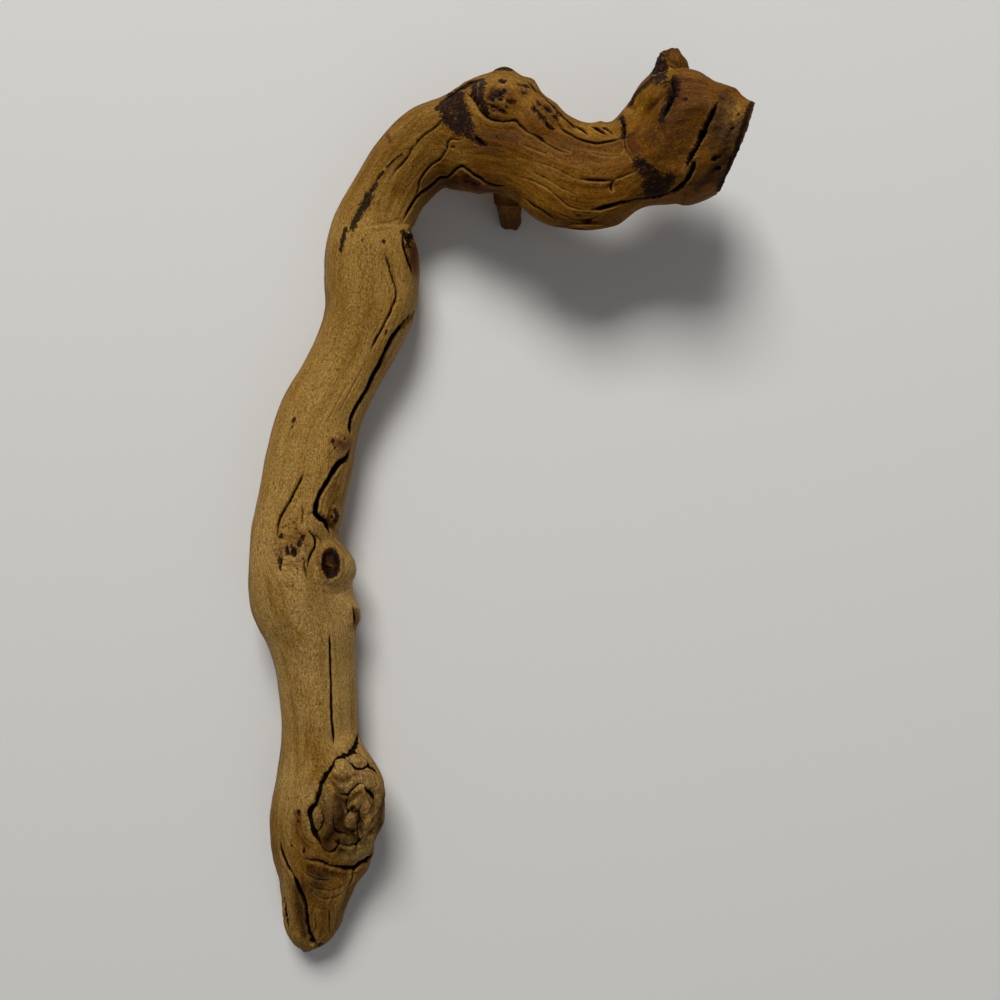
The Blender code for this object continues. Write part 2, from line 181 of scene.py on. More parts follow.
def layered(where, seed=0, layers=3):
    # Noise at one size, plus half as much at half the size, and so on.
    return sum(noise(np.asarray(where) * 2**n, seed + n) / 2**n for n in range(layers))


def ringPlaces(total):
    # Distances along the path whose spacing follows the ring steps.
    places, steps = np.array(driftwood["ringSteps"], float).T
    fine = np.linspace(0.0, total, 6000)
    counted = np.concatenate([[0.0], np.cumsum(np.diff(fine) / np.interp(fine[1:], places, steps))])
    return np.interp(np.linspace(0.0, counted[-1], int(round(counted[-1])) + 1), counted, fine)


def columnAngles():
    # Angles round the section, from the left over the top: closer together where the sine is high.
    fine = np.linspace(0.0, 2 * math.pi, 4001)
    counted = fine + driftwood["upperShare"] * (1 - np.cos(fine))
    return np.interp(np.arange(driftwood["columns"]) / driftwood["columns"] * counted[-1], counted, fine)


def swellOut(points, upper, lump, low=0.15, high=1.15):
    # A smooth bump, full at the lump's centre and gone at its edge.
    *place, across, down, height, push = lump
    far = sizes((seenAt(points) - fromPicture(place)) / (across, down))
    amount = height * upper * (1 - smooth(low, high, far))
    return points + amount[..., None] * np.array(push)


def trunkForm():
    # Superellipse sections on the path: side = reach x |cos|^(2/power), rise = reach x |sin|^(2/power), both
    # times a few slow lobes. The lumps, the ledge and the slab are then raised or planed on the upper side.
    path = np.array(driftwood["path"], float)
    stops = distanceAlong(path[:, :3])
    at = ringPlaces(stops[-1])
    x, y, z, left, right, up, down = alongCurve(stops, path, at).T[:, :, None]
    reach = driftwood["turnReach"]
    ahead, behind = (alongCurve(stops, path, np.clip(at + step, 0, stops[-1])) for step in (reach, -reach))
    run = unit((ahead - behind)[:, :2])

    angle = columnAngles()[None, :]
    cos, sin = np.cos(angle), np.sin(angle)
    power = 2 / driftwood["sectionPower"]
    side = np.where(cos > 0, left, right) * np.sign(cos) * np.abs(cos) ** power
    rise = np.where(sin > 0, up, down) * np.sign(sin) * np.abs(sin) ** power
    swell = 1.0
    for count, amount, twist in driftwood["lobes"]:
        swell = swell + amount * np.cos(count * angle + twist * at[:, None])
    side, rise = side * swell, rise * swell
    points = np.stack([x - run[:, 1:2] * side, y + run[:, 0:1] * side, z + rise], axis=-1)

    upper = smooth(-0.9, 0.1, rise / np.where(sin > 0, up, down))
    points = swellOut(points, upper, driftwood["burl"], 0.35, 1.2)
    for lump in driftwood["lumps"]:
        points = swellOut(points, upper, lump)

    ledge = driftwood["ledge"]
    seen = seenAt(points)
    u, v = fromPicture((ledge["from"], ledge["down"]))
    below = smooth(v + 1.2, v - 1.2, seen[..., 1]) * smooth(v - ledge["fade"], v, seen[..., 1])
    beside = smooth(u - 8, u + 4, seen[..., 0])
    points[..., 2] += ledge["rise"] * upper * below * beside

    slab = driftwood["slab"]
    seen = seenAt(points)
    centre = fromPicture(slab["centre"])
    far = sizes(seen - centre)
    plane = slab["top"] + (points[..., :2] - centre) @ np.array(slab["fall"])
    first, second = fromPicture(slab["edge"])
    beyond = np.cross(second - first, seen - first) / np.linalg.norm(second - first)
    inside = upper * smooth(slab["reach"] + 5, slab["reach"] - 5, far) * smooth(2.2, -2.2, beyond)
    points[..., 2] -= inside * np.maximum(points[..., 2] - plane, 0.0)

    # The grain's own coordinates: the wood straightened into a round bar, with the grain along the third.
    radius = (left + right + up + down) / 4
    bar = np.stack([radius * cos, radius * sin, np.broadcast_to(at[:, None], (len(at), len(angle[0])))], axis=-1)
    return points, bar, at, upper


def breakOff(points, bar, upper, at):
    # Slides the last rings along their own sides until the last one lies on the broken face, and fills that
    # face with smaller and smaller rings.
    end = driftwood["end"]
    facing = np.array(end["facing"])
    beyond = (points[..., :2] - np.array(end["point"])) @ facing
    past = np.argmax(beyond > 0, axis=0)
    column = np.arange(points.shape[1])
    before, after = beyond[past - 1, column], beyond[past, column]
    stop = at[past - 1] + (at[past] - at[past - 1]) * before / (before - after)
    begin = at[-1] - end["blend"]
    slid = np.where(at[:, None] < begin, at[:, None],
                    begin + (at[:, None] - begin) * (stop - begin)[None, :] / end["blend"])
    place = np.interp(slid, at, np.arange(len(at)))
    low = np.minimum(place.astype(int), len(at) - 2)
    share = (place - low)[..., None]
    made = []
    for field in (points, bar, upper[..., None]):
        made.append(field[low, column] * (1 - share) + field[low + 1, column] * share)
    points, bar, upper = made

    inset = (1 - np.arange(1, end["rings"]) / end["rings"])[:, None, None]
    rim = points[-1]
    centre = rim.mean(axis=0)
    face = centre + (rim - centre) * inset
    faceBar = bar[-1] * np.concatenate([inset, inset, np.ones_like(inset)], axis=-1)
    points = np.concatenate([points, face])
    bar = np.concatenate([bar, faceBar])
    upper = np.concatenate([upper[..., 0], np.broadcast_to(upper[-1, :, 0], face.shape[:2])])
    onFace = np.zeros(points.shape[:2])
    onFace[-len(face):] = smooth(0.0, 0.25, 1 - inset[..., 0])
    return points, bar, upper, onFace


def outward(points):
    # The surface's normal: round the section crossed with along the path.
    around = np.roll(points, -1, axis=1) - np.roll(points, 1, axis=1)
    along = np.gradient(points, axis=0)
    return unit(np.cross(around, along))


# Cracks: widest gap, depth, and the line that they follow, as x,y and x,y. Widths taper to nothing at both ends.
cracks = (
    # foot
    (1.5, 3, (279,838, 283,855, 290,870, 297,882)),
    (2.5, 5, (292,873, 298,885, 303,896, 306,910, 308,925, 312,938, 319,946)),
    (2, 3, (283.5,893, 285,906, 286.5,918, 289,930)), (0.8, 2, (329,908, 329.5,922, 330.5,938)),
    (1.4, 3, (308,940, 318,945, 324,943)),
    # burl
    (2.9, 4, (337,758, 331,767, 325,777, 320,786, 318,797, 314,806, 310,812, 311,822, 314,832, 319,840, 322,848)),
    (1.4, 3, (319,808, 322,814, 323,821, 320,829, 316,834)),
    (3.2, 4, (332,760, 342,756, 350,752, 355,746, 358,738, 358,730)),
    (2.6, 3.5, (347,760, 352,764, 357,768, 362,768, 367,766, 372,768, 379,775)),
    (0.8, 1.5, (347,760, 350,755, 357,753, 364,757, 370,764)),
    (1.6, 2.6, (335,792, 341,794, 347,795, 352,790, 357,785, 361,783, 366,787)),
    (2.2, 3.5, (364,786, 367,790, 371,794, 375,801)), (1.2, 2.2, (357,820, 358,835, 357,846, 355,858)),
    (1, 1.5, (348,808, 353,812, 359,811)), (1.3, 2, (331,838, 340,844, 350,846, 360,841, 367,833)),
    (1.4, 2.2, (349,797, 345,804, 347,812, 343,820)), (0.9, 1.4, (364,803, 359,811, 361,821, 366,827)),
    (1.3, 2, (322,846, 328,852, 335,850, 339,843, 339,834)), (1.3, 2, (334,812, 333,822, 336,831, 346,834, 353,838)),
    (1.6, 3, (302,858, 312,860, 322,862, 332,866, 342,868)),
    (2.8, 4, (330,865, 338,867, 345,868, 355,867, 362,862, 370,857, 377,848)), (0.9, 2, (353,867, 353,876, 349,886)),
    # lower stem
    (1.4, 3, (330,630, 330.5,660, 331.5,690, 332,720, 333.5,738, 333,750)),
    # creases left of the burl and below it
    (0.6, 0.6, (292,802, 287,816, 286,831, 290,843, 296,849)), (0.5, 0.5, (298,809, 294,819, 294,830)),
    (0.6, 0.6, (303,812, 300,822, 302,833, 308,841, 316,844)), (0.7, 0.8, (300,868, 310,876, 323,880, 336,879)),
    (0.5, 0.5, (306,880, 315,887, 330,890, 345,884, 351,876)), (0.6, 0.6, (314,893, 322,898, 331,898, 345,892)),
    (0.5, 0.5, (310,904, 318,908, 328,908)), (0.7, 0.8, (315,912, 316,925, 317,937)),
    (0.5, 0.5, (337,905, 337,918, 334,930)),
    # knots
    (1.3, 3, (305,468, 300,482, 294,493, 288,504, 282,514, 279,522, 277,532, 279,542)),
    (2.9, 8, (351,447, 346,458, 340,463, 334,470, 330,478, 325,486, 320,494, 317,503, 316,513, 320,518, 325,521,
        328,527, 331,537)),
    (0.9, 2, (302,503, 302.5,512, 302,518, 304,526)), (0.4, 0.8, (303,515, 310,514, 317,514.5)),
    (0.8, 1.5, (277,535, 280,531, 284,527, 290,524, 297,523, 304,525)),
    (1.6, 2, (352,605, 354,613, 355,621, 354,631)), (0.8, 2, (307,527, 314,534, 319,538, 322,542, 322,550)),
    (1.5, 3, (305,529, 311,534, 315,539, 315.5,545, 313,551, 310,557, 308,563, 307,571)),
    (1, 2, (306,557, 304.5,564, 305.5,573, 309,582)),
    # upper stem
    (2.3, 5, (416,311, 404,323, 394,335, 388.5,344, 383,356, 379,365, 373,376, 367.5,388, 360.5,400, 355,409, 351,419,
        349.7,428, 351.5,437)),
    (1.25, 3, (383,250, 387,262, 391,272, 393,280, 396,288, 396,298, 393,306, 389,315, 384,325, 379,334, 374,343,
        370,354)),
    (1.6, 2.5, (401,232, 403,240, 404,247, 406,254, 409,263, 412,271, 414,277)),
    (0.5, 0.5, (349,380, 341,396, 333,411, 322,430)), (0.7, 0.8, (367,229, 373,231, 381,230.5, 390,229, 399,228)),
    (0.45, 0.4, (362,368, 354,384, 345,401, 337,415)),
    # arch
    (0.9, 2, (448,110, 442,118, 439,124, 433,129, 427,133, 421,138, 417,143, 412,148, 409,155, 404,162, 399,167,
        394,173, 389,181)),
    (1.1, 2, (464,139, 457,140, 452,139, 448,142, 447,148, 444,154, 441,158, 435,162, 428,168, 423,175, 419,182,
        418,190, 413,198)),
    (1.3, 2.4, (402,224, 406,215, 410,207, 416,198, 422,192, 428,188, 433,184, 440,178, 447,177, 452,173, 457,168,
        462,166, 467,169, 473,174, 480,178, 486,182, 492,185, 500,186, 508,185)),
    # crest
    (1.5, 2.5, (446,100, 452,94, 460,88, 468,83, 480,79)),
    (1.3, 2, (464,89, 470,96, 474,101, 478,107, 482,113, 487,117, 494,120, 502,121, 510,121, 516,120, 520,125,
        526,130, 533,134, 541,139, 548,144, 556,148, 563,151, 570,153)),
    (0.9, 2, (553,101, 557,112, 558,121, 563,130, 570,134, 577,138, 585,141, 595,143, 605,142, 615,140, 624,137)),
    (1.2, 1.8, (525,79, 533,87, 541,95, 550,103, 559,112, 566,120, 571,125)),
    # arm
    (1.1, 3, (579,178.5, 590,180, 600,180.5, 613,180)), (0.6, 1.2, (610,180.5, 618,178, 626,175, 637,171)),
    (1.5, 2.5, (614,180, 611,185, 612,193)), (0.9, 2, (523,197, 532,204, 540,209, 548,214, 558,222)),
    (0.6, 1, (520,143, 530,147, 540,151, 552,156)), (0.8, 1.5, (543,226, 555,232, 565,231, 575,229, 592,231)),
    (0.6, 0.7, (519,176, 536,182, 550,190, 561,200, 571,207, 584,210)),
    (0.5, 0.6, (528,169, 547,179, 564,189, 578,195)), (0.45, 0.5, (534,160, 555,168, 575,178)),
    (0.5, 0.5, (590,152, 606,156, 622,155)), (0.5, 0.6, (557,212, 572,219, 590,219, 603,214)),
    (1.4, 1.8, (574,125, 582,130, 590,136)), (1.5, 1.8, (590,126, 599,130, 608,136)),
    (1.3, 1.6, (601,127, 608,130, 614,135)), (1.3, 1.6, (566,118, 571,124, 576,129)),
    # block
    (3, 8, (719,99, 714,110, 710,118, 706,126, 703,133, 699,141, 695,149, 691,156, 687,164, 683,170)),
    (2.5, 5, (695,154, 694,161, 693,167, 691,172, 688,178, 683,184, 675,190, 667,194)),
    (1, 2, (675,189, 667,193.5, 655,197, 640,199, 628,201, 618,203.5)),
    (2, 4, (632,200.5, 618,203.5, 608,206.5, 600,208.5, 590,210)),
    (2.6, 3.5, (672,76, 674,88, 673,96, 670,104, 667,111, 662,121)), (1.8, 3, (621,119, 624,128, 625,139)),
    (0.9, 1.5, (624,139, 626,149, 630,156, 635,163)),
)

# Cracks of the underside and the far sides, as distance along the path and turns round the section from the
# left edge over the top: 0.25 is the top, 0.5 the right edge and 0.75 the bottom.
hiddenCracks = (
    (1.6, 5, (115,0.74, 150,0.77, 200,0.73, 240,0.76, 285,0.74)), (1.6, 5, (430,0.76, 470,0.73, 505,0.77, 545,0.74)),
    (1.2, 3, (300,0.86, 330,0.9, 362,0.88)), (1.2, 3, (60,0.9, 95,0.93, 140,0.9, 170,0.93)),
    (1.2, 3.5, (210,0.62, 245,0.6, 290,0.63)), (1.1, 3, (395,0.63, 430,0.6, 465,0.62)),
    (1.2, 3, (250,0.03, 290,0.99, 330,0.02, 355,0)), (1.4, 3.5, (480,0.93, 515,0.97, 545,0.95)),
    (1, 2.5, (20,0.8, 50,0.78, 85,0.8)),
)


def wander(at, start, seed):
    # Noise along a line, a different one for each starting place.
    return noise(np.stack([at, start[0] + 0 * at, start[1] + 0 * at], axis=-1), seed)


def linePoints(line, step=0.8):
    # A smooth curve through places of the picture, spaced evenly, with a small natural waver.
    path = fromPicture(np.reshape(line, (-1, 2)))
    stops = distanceAlong(path)
    at = np.linspace(0.0, stops[-1], max(4, int(stops[-1] / step)))
    made = alongCurve(stops, path, at)
    run = unit(np.gradient(made, axis=0))
    waver = 0.45 * wander(at / 4, path[0], 3)
    waver *= smooth(0, 4, np.minimum(at, at[-1] - at))
    return made + waver[:, None] * np.stack([-run[:, 1], run[:, 0]], axis=-1)


def ontoSurface(places, points, facing):
    # Lifts places on the level plane on to the wood: each takes its height from the plane that best fits the
    # nearest seen points. Leaves out the places that miss the surface.
    seen, heights = seenAt(points)[facing], points[..., 2][facing]
    near = np.all((seen > places.min(axis=0) - 4) & (seen < places.max(axis=0) + 4), axis=-1)
    if np.count_nonzero(near) < 12:
        return places[:0]
    seen, heights = seen[near], heights[near]
    far = np.sum((places[:, None] - seen[None]) ** 2, axis=-1)
    close = np.argpartition(far, 8, axis=1)[:, :8]
    closeFar = np.take_along_axis(far, close, axis=1)
    weight = np.exp(-closeFar / (1.5 * closeFar.mean(axis=1, keepdims=True)))[..., None]
    terms = np.concatenate([np.ones(close.shape + (1,)), seen[close] - places[:, None]], axis=-1)
    square = np.swapaxes(terms, 1, 2) @ (terms * weight) + 0.01 * np.diag([0.0, 1.0, 1.0])
    z = np.linalg.solve(square, np.swapaxes(terms, 1, 2) @ (heights[close][..., None] * weight))[:, 0, 0]
    eye = np.array(camera["eye"])
    flat = eye[:2] + (places - eye[:2]) * ((eye[2] - z) / (eye[2] - camera["plane"]))[:, None]
    return np.column_stack([flat, z])[closeFar.min(axis=1) < 4.0]


def atGrid(places, points, at):
    # Points of the surface at (distance along, turns round), taken from the nearest grid corners.
    ring = np.searchsorted(at, places[:, 0]).clip(0, len(at) - 1)
    angles = columnAngles() / (2 * math.pi)
    gap = np.abs((angles[None] - places[:, 1:2] + 0.5) % 1 - 0.5)
    return points[ring, np.argmin(gap, axis=1)]


def nearLine(points, line, reach):
    # For each point within reach of a line in space: its index, the vector from the line, the line's own
    # direction there, and how far along the line that is, from 0 to 1.
    flat = points.reshape(-1, 3)
    low, high = line.min(axis=0) - reach, line.max(axis=0) + reach
    near = np.flatnonzero(np.all((flat > low) & (flat < high), axis=1))
    start, step = line[:-1], np.diff(line, axis=0)
    lengths = np.sum(step**2, axis=1)
    rel = flat[near][:, None] - start[None]
    share = np.clip(np.sum(rel * step[None], axis=-1) / lengths[None], 0, 1)
    away = rel - share[..., None] * step[None]
    far = np.sum(away**2, axis=-1)
    best = np.argmin(far, axis=1)
    rows = np.arange(len(near))
    keep = far[rows, best] < reach**2
    place = (best + share[rows, best]) / len(step)
    run = step[best] / np.sqrt(lengths[best])[:, None]
    return near[keep], away[rows, best][keep], run[keep], place[keep]


# How every crack is cut, in millimetres or as shares.
crackShape = {
    "half": 0.42,        # half of the gap, as a share of the crack's width
    "lip": 0.13,         # height of the lips, as a share of the width
    "crease": 0.22,      # the most that a fine crease's value can be: this share of its width,
    "creaseLoss": 0.13,  # less this
    "sight": 0.65,       # how much it opens along the line of sight, and the rest along the normal
    "reach": 4.5,        # how far beyond the gap corners are moved
    "taper": 8.0,        # the gap is full from this far inside each end
    "magnet": 0.54,      # corners nearer than this share of their spacing are drawn on to the line
    "edge": 0.35,        # how far beyond the gap the wood starts to sink
}


def cutCrack(points, normals, crack, line, width, depth, look=None):
    # The corners nearest the line are drawn on to it, one in each row of the grid, so that the crack has a clean
    # edge, and sink in a V. The width varies along the line and comes to nothing at its ends. The lips stand
    # a little proud. A crack of the picture is measured across the line of sight, and opens along it. The
    # crack's value is how far inside its edge a place lies, in millimetres, and stays low in a fine crease.
    near, away, run, place = nearLine(points, line, 0.5 * width + crackShape["reach"])
    normal = normals.reshape(-1, 3)[near]
    level = opens = normal
    if look is not None:
        level = look.reshape(-1, 3)[near]
        seen = np.sum(normal * level, axis=1) > 0.05
        near, away, run, place, normal, level = (each[seen] for each in (near, away, run, place, normal, level))
        opens = unit((1 - crackShape["sight"]) * normal + crackShape["sight"] * level)

    def flattened(vectors):
        return vectors - np.sum(vectors * level, axis=1, keepdims=True) * level

    away, run = flattened(away), unit(flattened(run))
    around = flattened((0.5 * (np.roll(points, -1, axis=1) - np.roll(points, 1, axis=1))).reshape(-1, 3)[near])
    along = flattened(np.gradient(points, axis=0).reshape(-1, 3)[near])
    spacing = np.maximum(sizes(np.cross(around, run)), sizes(np.cross(along, run)))
    magnet = crackShape["magnet"] * spacing.clip(0.2, 1.4)
    length = np.sum(sizes(np.diff(line, axis=0)))
    ends = np.minimum(place, 1 - place) * length
    opening = smooth(-0.5, min(crackShape["taper"], 0.35 * length), ends)
    vary = 1 + 0.6 * wander(place * length / 5, line[0], 5)
    half = crackShape["half"] * width * opening * vary.clip(0.3)
    far = sizes(away)
    drawn = np.where(far < magnet, 0.0, np.where(far < 3 * magnet, 1.5 * (far - magnet), far))
    drawn = far + (drawn - far) * smooth(-0.5, 1.0, ends)
    flat = points.reshape(-1, 3)
    flat[near] += away * ((drawn - far) / np.maximum(far, 1e-6))[:, None]
    sunk = np.clip(1 - drawn / (half + crackShape["edge"]), 0, 1)
    lip = np.exp(-((drawn - half - 0.6) / (0.4 * half + 0.4)) ** 2)
    flat[near] += normal * (crackShape["lip"] * width * opening * lip)[:, None]
    flat[near] -= opens * (depth * opening * sunk)[:, None]
    value = crack.reshape(-1)
    most = crackShape["crease"] * width - crackShape["creaseLoss"]
    value[near] = np.maximum(value[near], np.minimum(half - drawn - 0.04, most))


# Knots: place, radius, how high the rings stand, and how many small pits it has.
knots = (
    (499, 98, 8.5, 0.45, 7), (546, 113, 7.5, 0.35, 5), (292, 548, 10.5, 0.2, 3), (341, 443, 5.5, 0.12, 0),
    (330, 563, 7.5, 0.45, 0), (472, 182, 5, 0.3, 8), (524, 89, 4, 0.25, 3),
)
# Pits: place, radius and depth.
pits = (
    (497, 93, 2.6, 2.2), (500, 99, 1.6, 1.5), (502, 81, 1.6, 1.6), (491, 98, 1.7, 1.2), (511, 101, 1.8, 1.6),
    (505, 90, 1.2, 0.9), (503, 112, 1.5, 1), (494, 107, 1.2, 0.9), (507, 107, 1, 0.8), (526, 86, 1.2, 1),
    (525, 93, 1.4, 1), (548, 109, 1.7, 1.4), (543, 117, 2, 1.6), (550, 127, 1.5, 1.2), (534, 109, 1.5, 1),
    (555, 117, 1.2, 0.8), (539, 103, 1.2, 0.8), (546, 123, 1, 0.8), (479, 142, 2.1, 2), (476, 138, 1.2, 1),
    (485, 145, 0.8, 0.8), (497, 137, 0.8, 0.6), (453, 147, 1, 1.2), (303, 538, 1.6, 0.8), (300, 543, 1.5, 0.6),
    (294, 552, 1.9, 1), (287, 550, 1.4, 0.8), (291, 546, 0.9, 0.5), (280, 561, 1.7, 1.2), (280, 568, 0.9, 0.6),
    (289, 529, 0.8, 0.6), (296, 528, 0.7, 0.5), (281, 536, 1, 0.6), (293, 421, 1.2, 1), (292, 427, 0.7, 0.7),
    (384, 242, 1, 1.2), (333, 441, 1.1, 1), (335, 448, 0.6, 0.5), (345, 440, 0.8, 0.7), (395, 322, 0.6, 0.5),
    (385, 333, 0.5, 0.4), (353, 809, 1, 0.9), (352, 833, 0.9, 0.8), (716, 158, 1.7, 2), (717, 169, 1.3, 1.6),
    (733, 128, 1, 0.9), (738, 115, 0.9, 0.8), (587, 222, 1.4, 1), (587, 213, 1, 0.8), (581, 216, 0.9, 0.7),
    (631, 103, 1.6, 1.2), (684, 99, 1.1, 0.8), (382, 827, 1.3, 1.5), (299, 813, 1, 0.8), (298, 821, 0.8, 0.7),
    (304, 851, 0.9, 0.7), (291, 846, 0.8, 0.6), (408, 238, 2.4, 2), (356, 243, 0.6, 0.6), (362, 241, 0.5, 0.5),
    (332, 518, 0.9, 1), (330.7, 568, 2.6, 0.8),
)
knotHole = {"place": (330.5, 563), "halfSizes": (4.3, 6.6), "depth": 5.0, "lip": 0.9}

# Bark left on the wood, and a few dark strips in hollows, on and beside the end block's spur and in a pocket at the
# bend, where the dark is partly painted shade: half-width, and the line that it follows.
barkPatches = (
    (0.6, (402,154, 392,162, 386,168)), (0.9, (384,171, 380,176, 377,181)), (1.3, (377,183, 374,188, 371,192)),
    (2.3, (369,196, 365,204, 360,212)), (2, (361,211, 356,220, 353,228)), (1.4, (346,229, 344,236, 342,243, 341,251)),
    (0.5, (344,238, 352,236)), (4.8, (455,99, 460,108, 463,118, 466,128)), (4.2, (447,116, 452,122, 460,128)),
    (2.8, (443,110, 451,103, 460,96)), (1.2, (436,109, 444,102, 453,95, 463,88, 473,83, 483,80)),
    (1.3, (466,134, 473,139, 480,143)), (1.7, (475,86, 475,94, 478,102)), (1.9, (484,84, 481,93, 483,103, 487,112)),
    (4.2, (639,163, 650,172, 658,180)), (3.6, (656,182, 648,186, 650,192, 660,190, 670,178)),
    (4.2, (659,52, 656,62, 657,71, 660,80)), (2.2, (664,64, 665,72, 664,80)), (1.2, (655,77, 648,83, 640,90, 631,98)),
    (3.4, (675,82, 674,91, 670,99)), (2.2, (668,104, 664,112, 662,120)), (1.8, (622,118, 624,127, 624,137)),
    (1.3, (402,232, 405,240, 408,247)), (1.3, (334,510, 336.5,515, 335,521)),
    (1.6, (751,104, 746,117, 741.5,131, 736,149, 730,163, 725,177, 718,189)), (1.8, (417,226, 411,234, 406,245)),
    (0.9, (488,72, 496,69.5, 504,68.5, 512,70.5)),
)

# Red-brown fragments and stains: half-width, and the line.
redPatches = (
    (3.4, (411,246, 412,258, 413,270)), (2.6, (333,441, 344,445)), (1.6, (629,103, 634,108)), (4, (628,142, 634,148)),
    (2, (465,184, 478,188, 490,191)), (1.3, (387,134, 390,141)), (2.4, (726,92, 722,98)),
    (1.4, (355,609, 357,617, 357,625)), (2, (297,812, 300,822)), (3, (676,86, 680,98)),
)

# Soft ridges (height above 0) and grooves (below 0): half-width, height, how much darker, and the line. A groove's
# darkening is painted shade in it, and a ridge's paling (below 0) a painted highlight on it.
strokes = (
    (2.3, -2.2, 1.3, (299,890, 300,905, 302,920, 306,936)),
    (1.2, -0.8, 0.35, (661,94, 655,104, 648,111, 643,116, 640,122, 637,129, 631,135, 623,138)),
    (1.6, 1.2, -0.35, (664,56, 668,66, 670,73, 667,80, 661,88, 657,96)), (0.7, -0.5, 0.45, (669,60, 674,62, 678,66)),
    (0.7, -0.5, 0.45, (671,67, 677,70, 682,75)), (0.8, -0.5, 0.4, (673,74, 681,78, 690,80)),
    (3.8, 1, -0.05, (407,238, 404,262, 405,285, 403,300, 396,315, 388,332, 381,347)),
    (1.6, 0.6, -0.1, (426,143, 412,163, 402,188)), (1.8, -0.9, 0.2, (362,800, 362,815, 356,828)),
    (2.2, 1.5, -0.15, (362,774, 373,780, 379,792, 379,806, 376,820, 372,836, 364,850, 352,857, 340,857, 330,855)),
    (2.4, 1.2, -0.1, (344,846, 350,848)), (1.4, -1.5, 0.9, (338,799, 344,802, 350,800, 355,795, 360,793)),
    (1.7, -1.8, 0.95, (341,808, 342,816, 339,826, 333,836, 327,844)),
    (1.2, -1.3, 0.85, (352,807, 357,813, 360,822, 361,832)), (1.1, -1.2, 0.8, (344,828, 350,832, 356,841)),
    (1.8, 1.2, -0.25, (349,806, 350,815, 348,824)), (1.8, 1.1, -0.25, (328,797, 331,810, 329,822, 324,833)),
    (1.6, 1.1, -0.25, (367,806, 368,820, 366,836)), (1.4, 0.9, -0.25, (338,784, 347,786, 354,781)),
    (1.1, -1.1, 0.75, (333,777, 342,781, 350,777, 358,774)), (1.8, -0.8, 0.6, (311,868, 318,879, 317,893)),
    (1.5, -0.7, 0.5, (326,872, 334,875, 346,873)), (1.6, -0.8, 0.6, (296,826, 300,838, 309,847)),
    (1.3, -0.8, 0.6, (383,800, 380,815, 378,832)), (1.3, -0.2, 0.45, (386,780, 389,795, 387,808)),
    (1.2, -0.2, 0.4, (350,885, 344,908, 337,928)), (1.6, -0.4, 0.5, (722,110, 718,124, 716,138)),
    (1.4, -0.3, 0.45, (732,124, 729,140, 725,152)), (1.6, -0.5, 0.55, (713,170, 706,180, 697,189)),
    (1.7, 0.3, -0.4, (738,107, 735,119, 732,128)), (0.9, -0.9, 0.8, (331,508, 329,515, 329,521, 332,527)),
    (0.8, -0.6, 0.5, (381,806, 374,818, 366,830)), (0.7, -0.6, 0.5, (379,818, 372,828, 365,838)),
    (0.7, -0.5, 0.5, (376,800, 370,810, 364,818)), (0.7, -0.6, 0.5, (324,838, 322,847, 328,855, 337,856, 342,849)),
    (0.6, -0.5, 0.45, (328,842, 327,848, 332,851, 337,848)), (0.7, -0.6, 0.5, (330,782, 337,788, 335,797)),
    (2.2, 1.4, -0.1, (316,817, 317,826)), (2, 1.2, -0.05, (353,759, 360,760)),
    (1.6, 1, -0.15, (340,766, 350,774, 360,777)), (0.5, -0.3, 0.25, (282,581, 290,587, 301,592)),
    (0.5, -0.25, 0.2, (324,592, 334,594, 344,592, 350,588)), (0.5, -0.3, 0.2, (325,584, 334,587, 342,584)),
    (0.6, -0.3, 0.2, (318,550, 319,565, 322,577, 330,584)), (0.8, 0.5, -0.2, (366,228, 380,227, 395,226, 406,229)),
    (0.6, -0.4, 0.25, (366,225, 380,223, 390,222, 399,219)), (1.2, 0.8, -0.25, (484,88, 484,100, 489,110, 497,115)),
    (1, 0.6, -0.25, (466,96, 472,108, 480,118, 492,125, 515,126)), (0.8, 0.5, -0.2, (462,170, 472,177, 484,184)),
    (1.4, -0.8, 0.5, (465,178, 474,185, 484,190, 500,192)), (1.2, 0.7, -0.15, (523,203, 535,213, 548,221)),
    (1, 0.6, -0.2, (560,120, 566,127, 580,134, 600,138)), (1.6, -0.8, 0.35, (570,126, 573,130)),
    (1, 0.5, 0.05, (596,206, 612,202, 630,197)),
)

# Regions that are rough and dark with broken fibres: place, half-sizes, and strength.
roughPlaces = (
    (350, 812, 17.5, 27, 0.75), (299, 822, 6, 10, 0.3), (326, 880, 10, 9, 0.3), (726, 142, 10, 28, 0.8),
    (306, 925, 12, 16, 0.3), (411, 250, 3, 9, 0.5), (333, 495, 4, 17, 0.45), (656, 178, 11, 7, 0.4),
    (672, 92, 4, 10, 0.5),
)
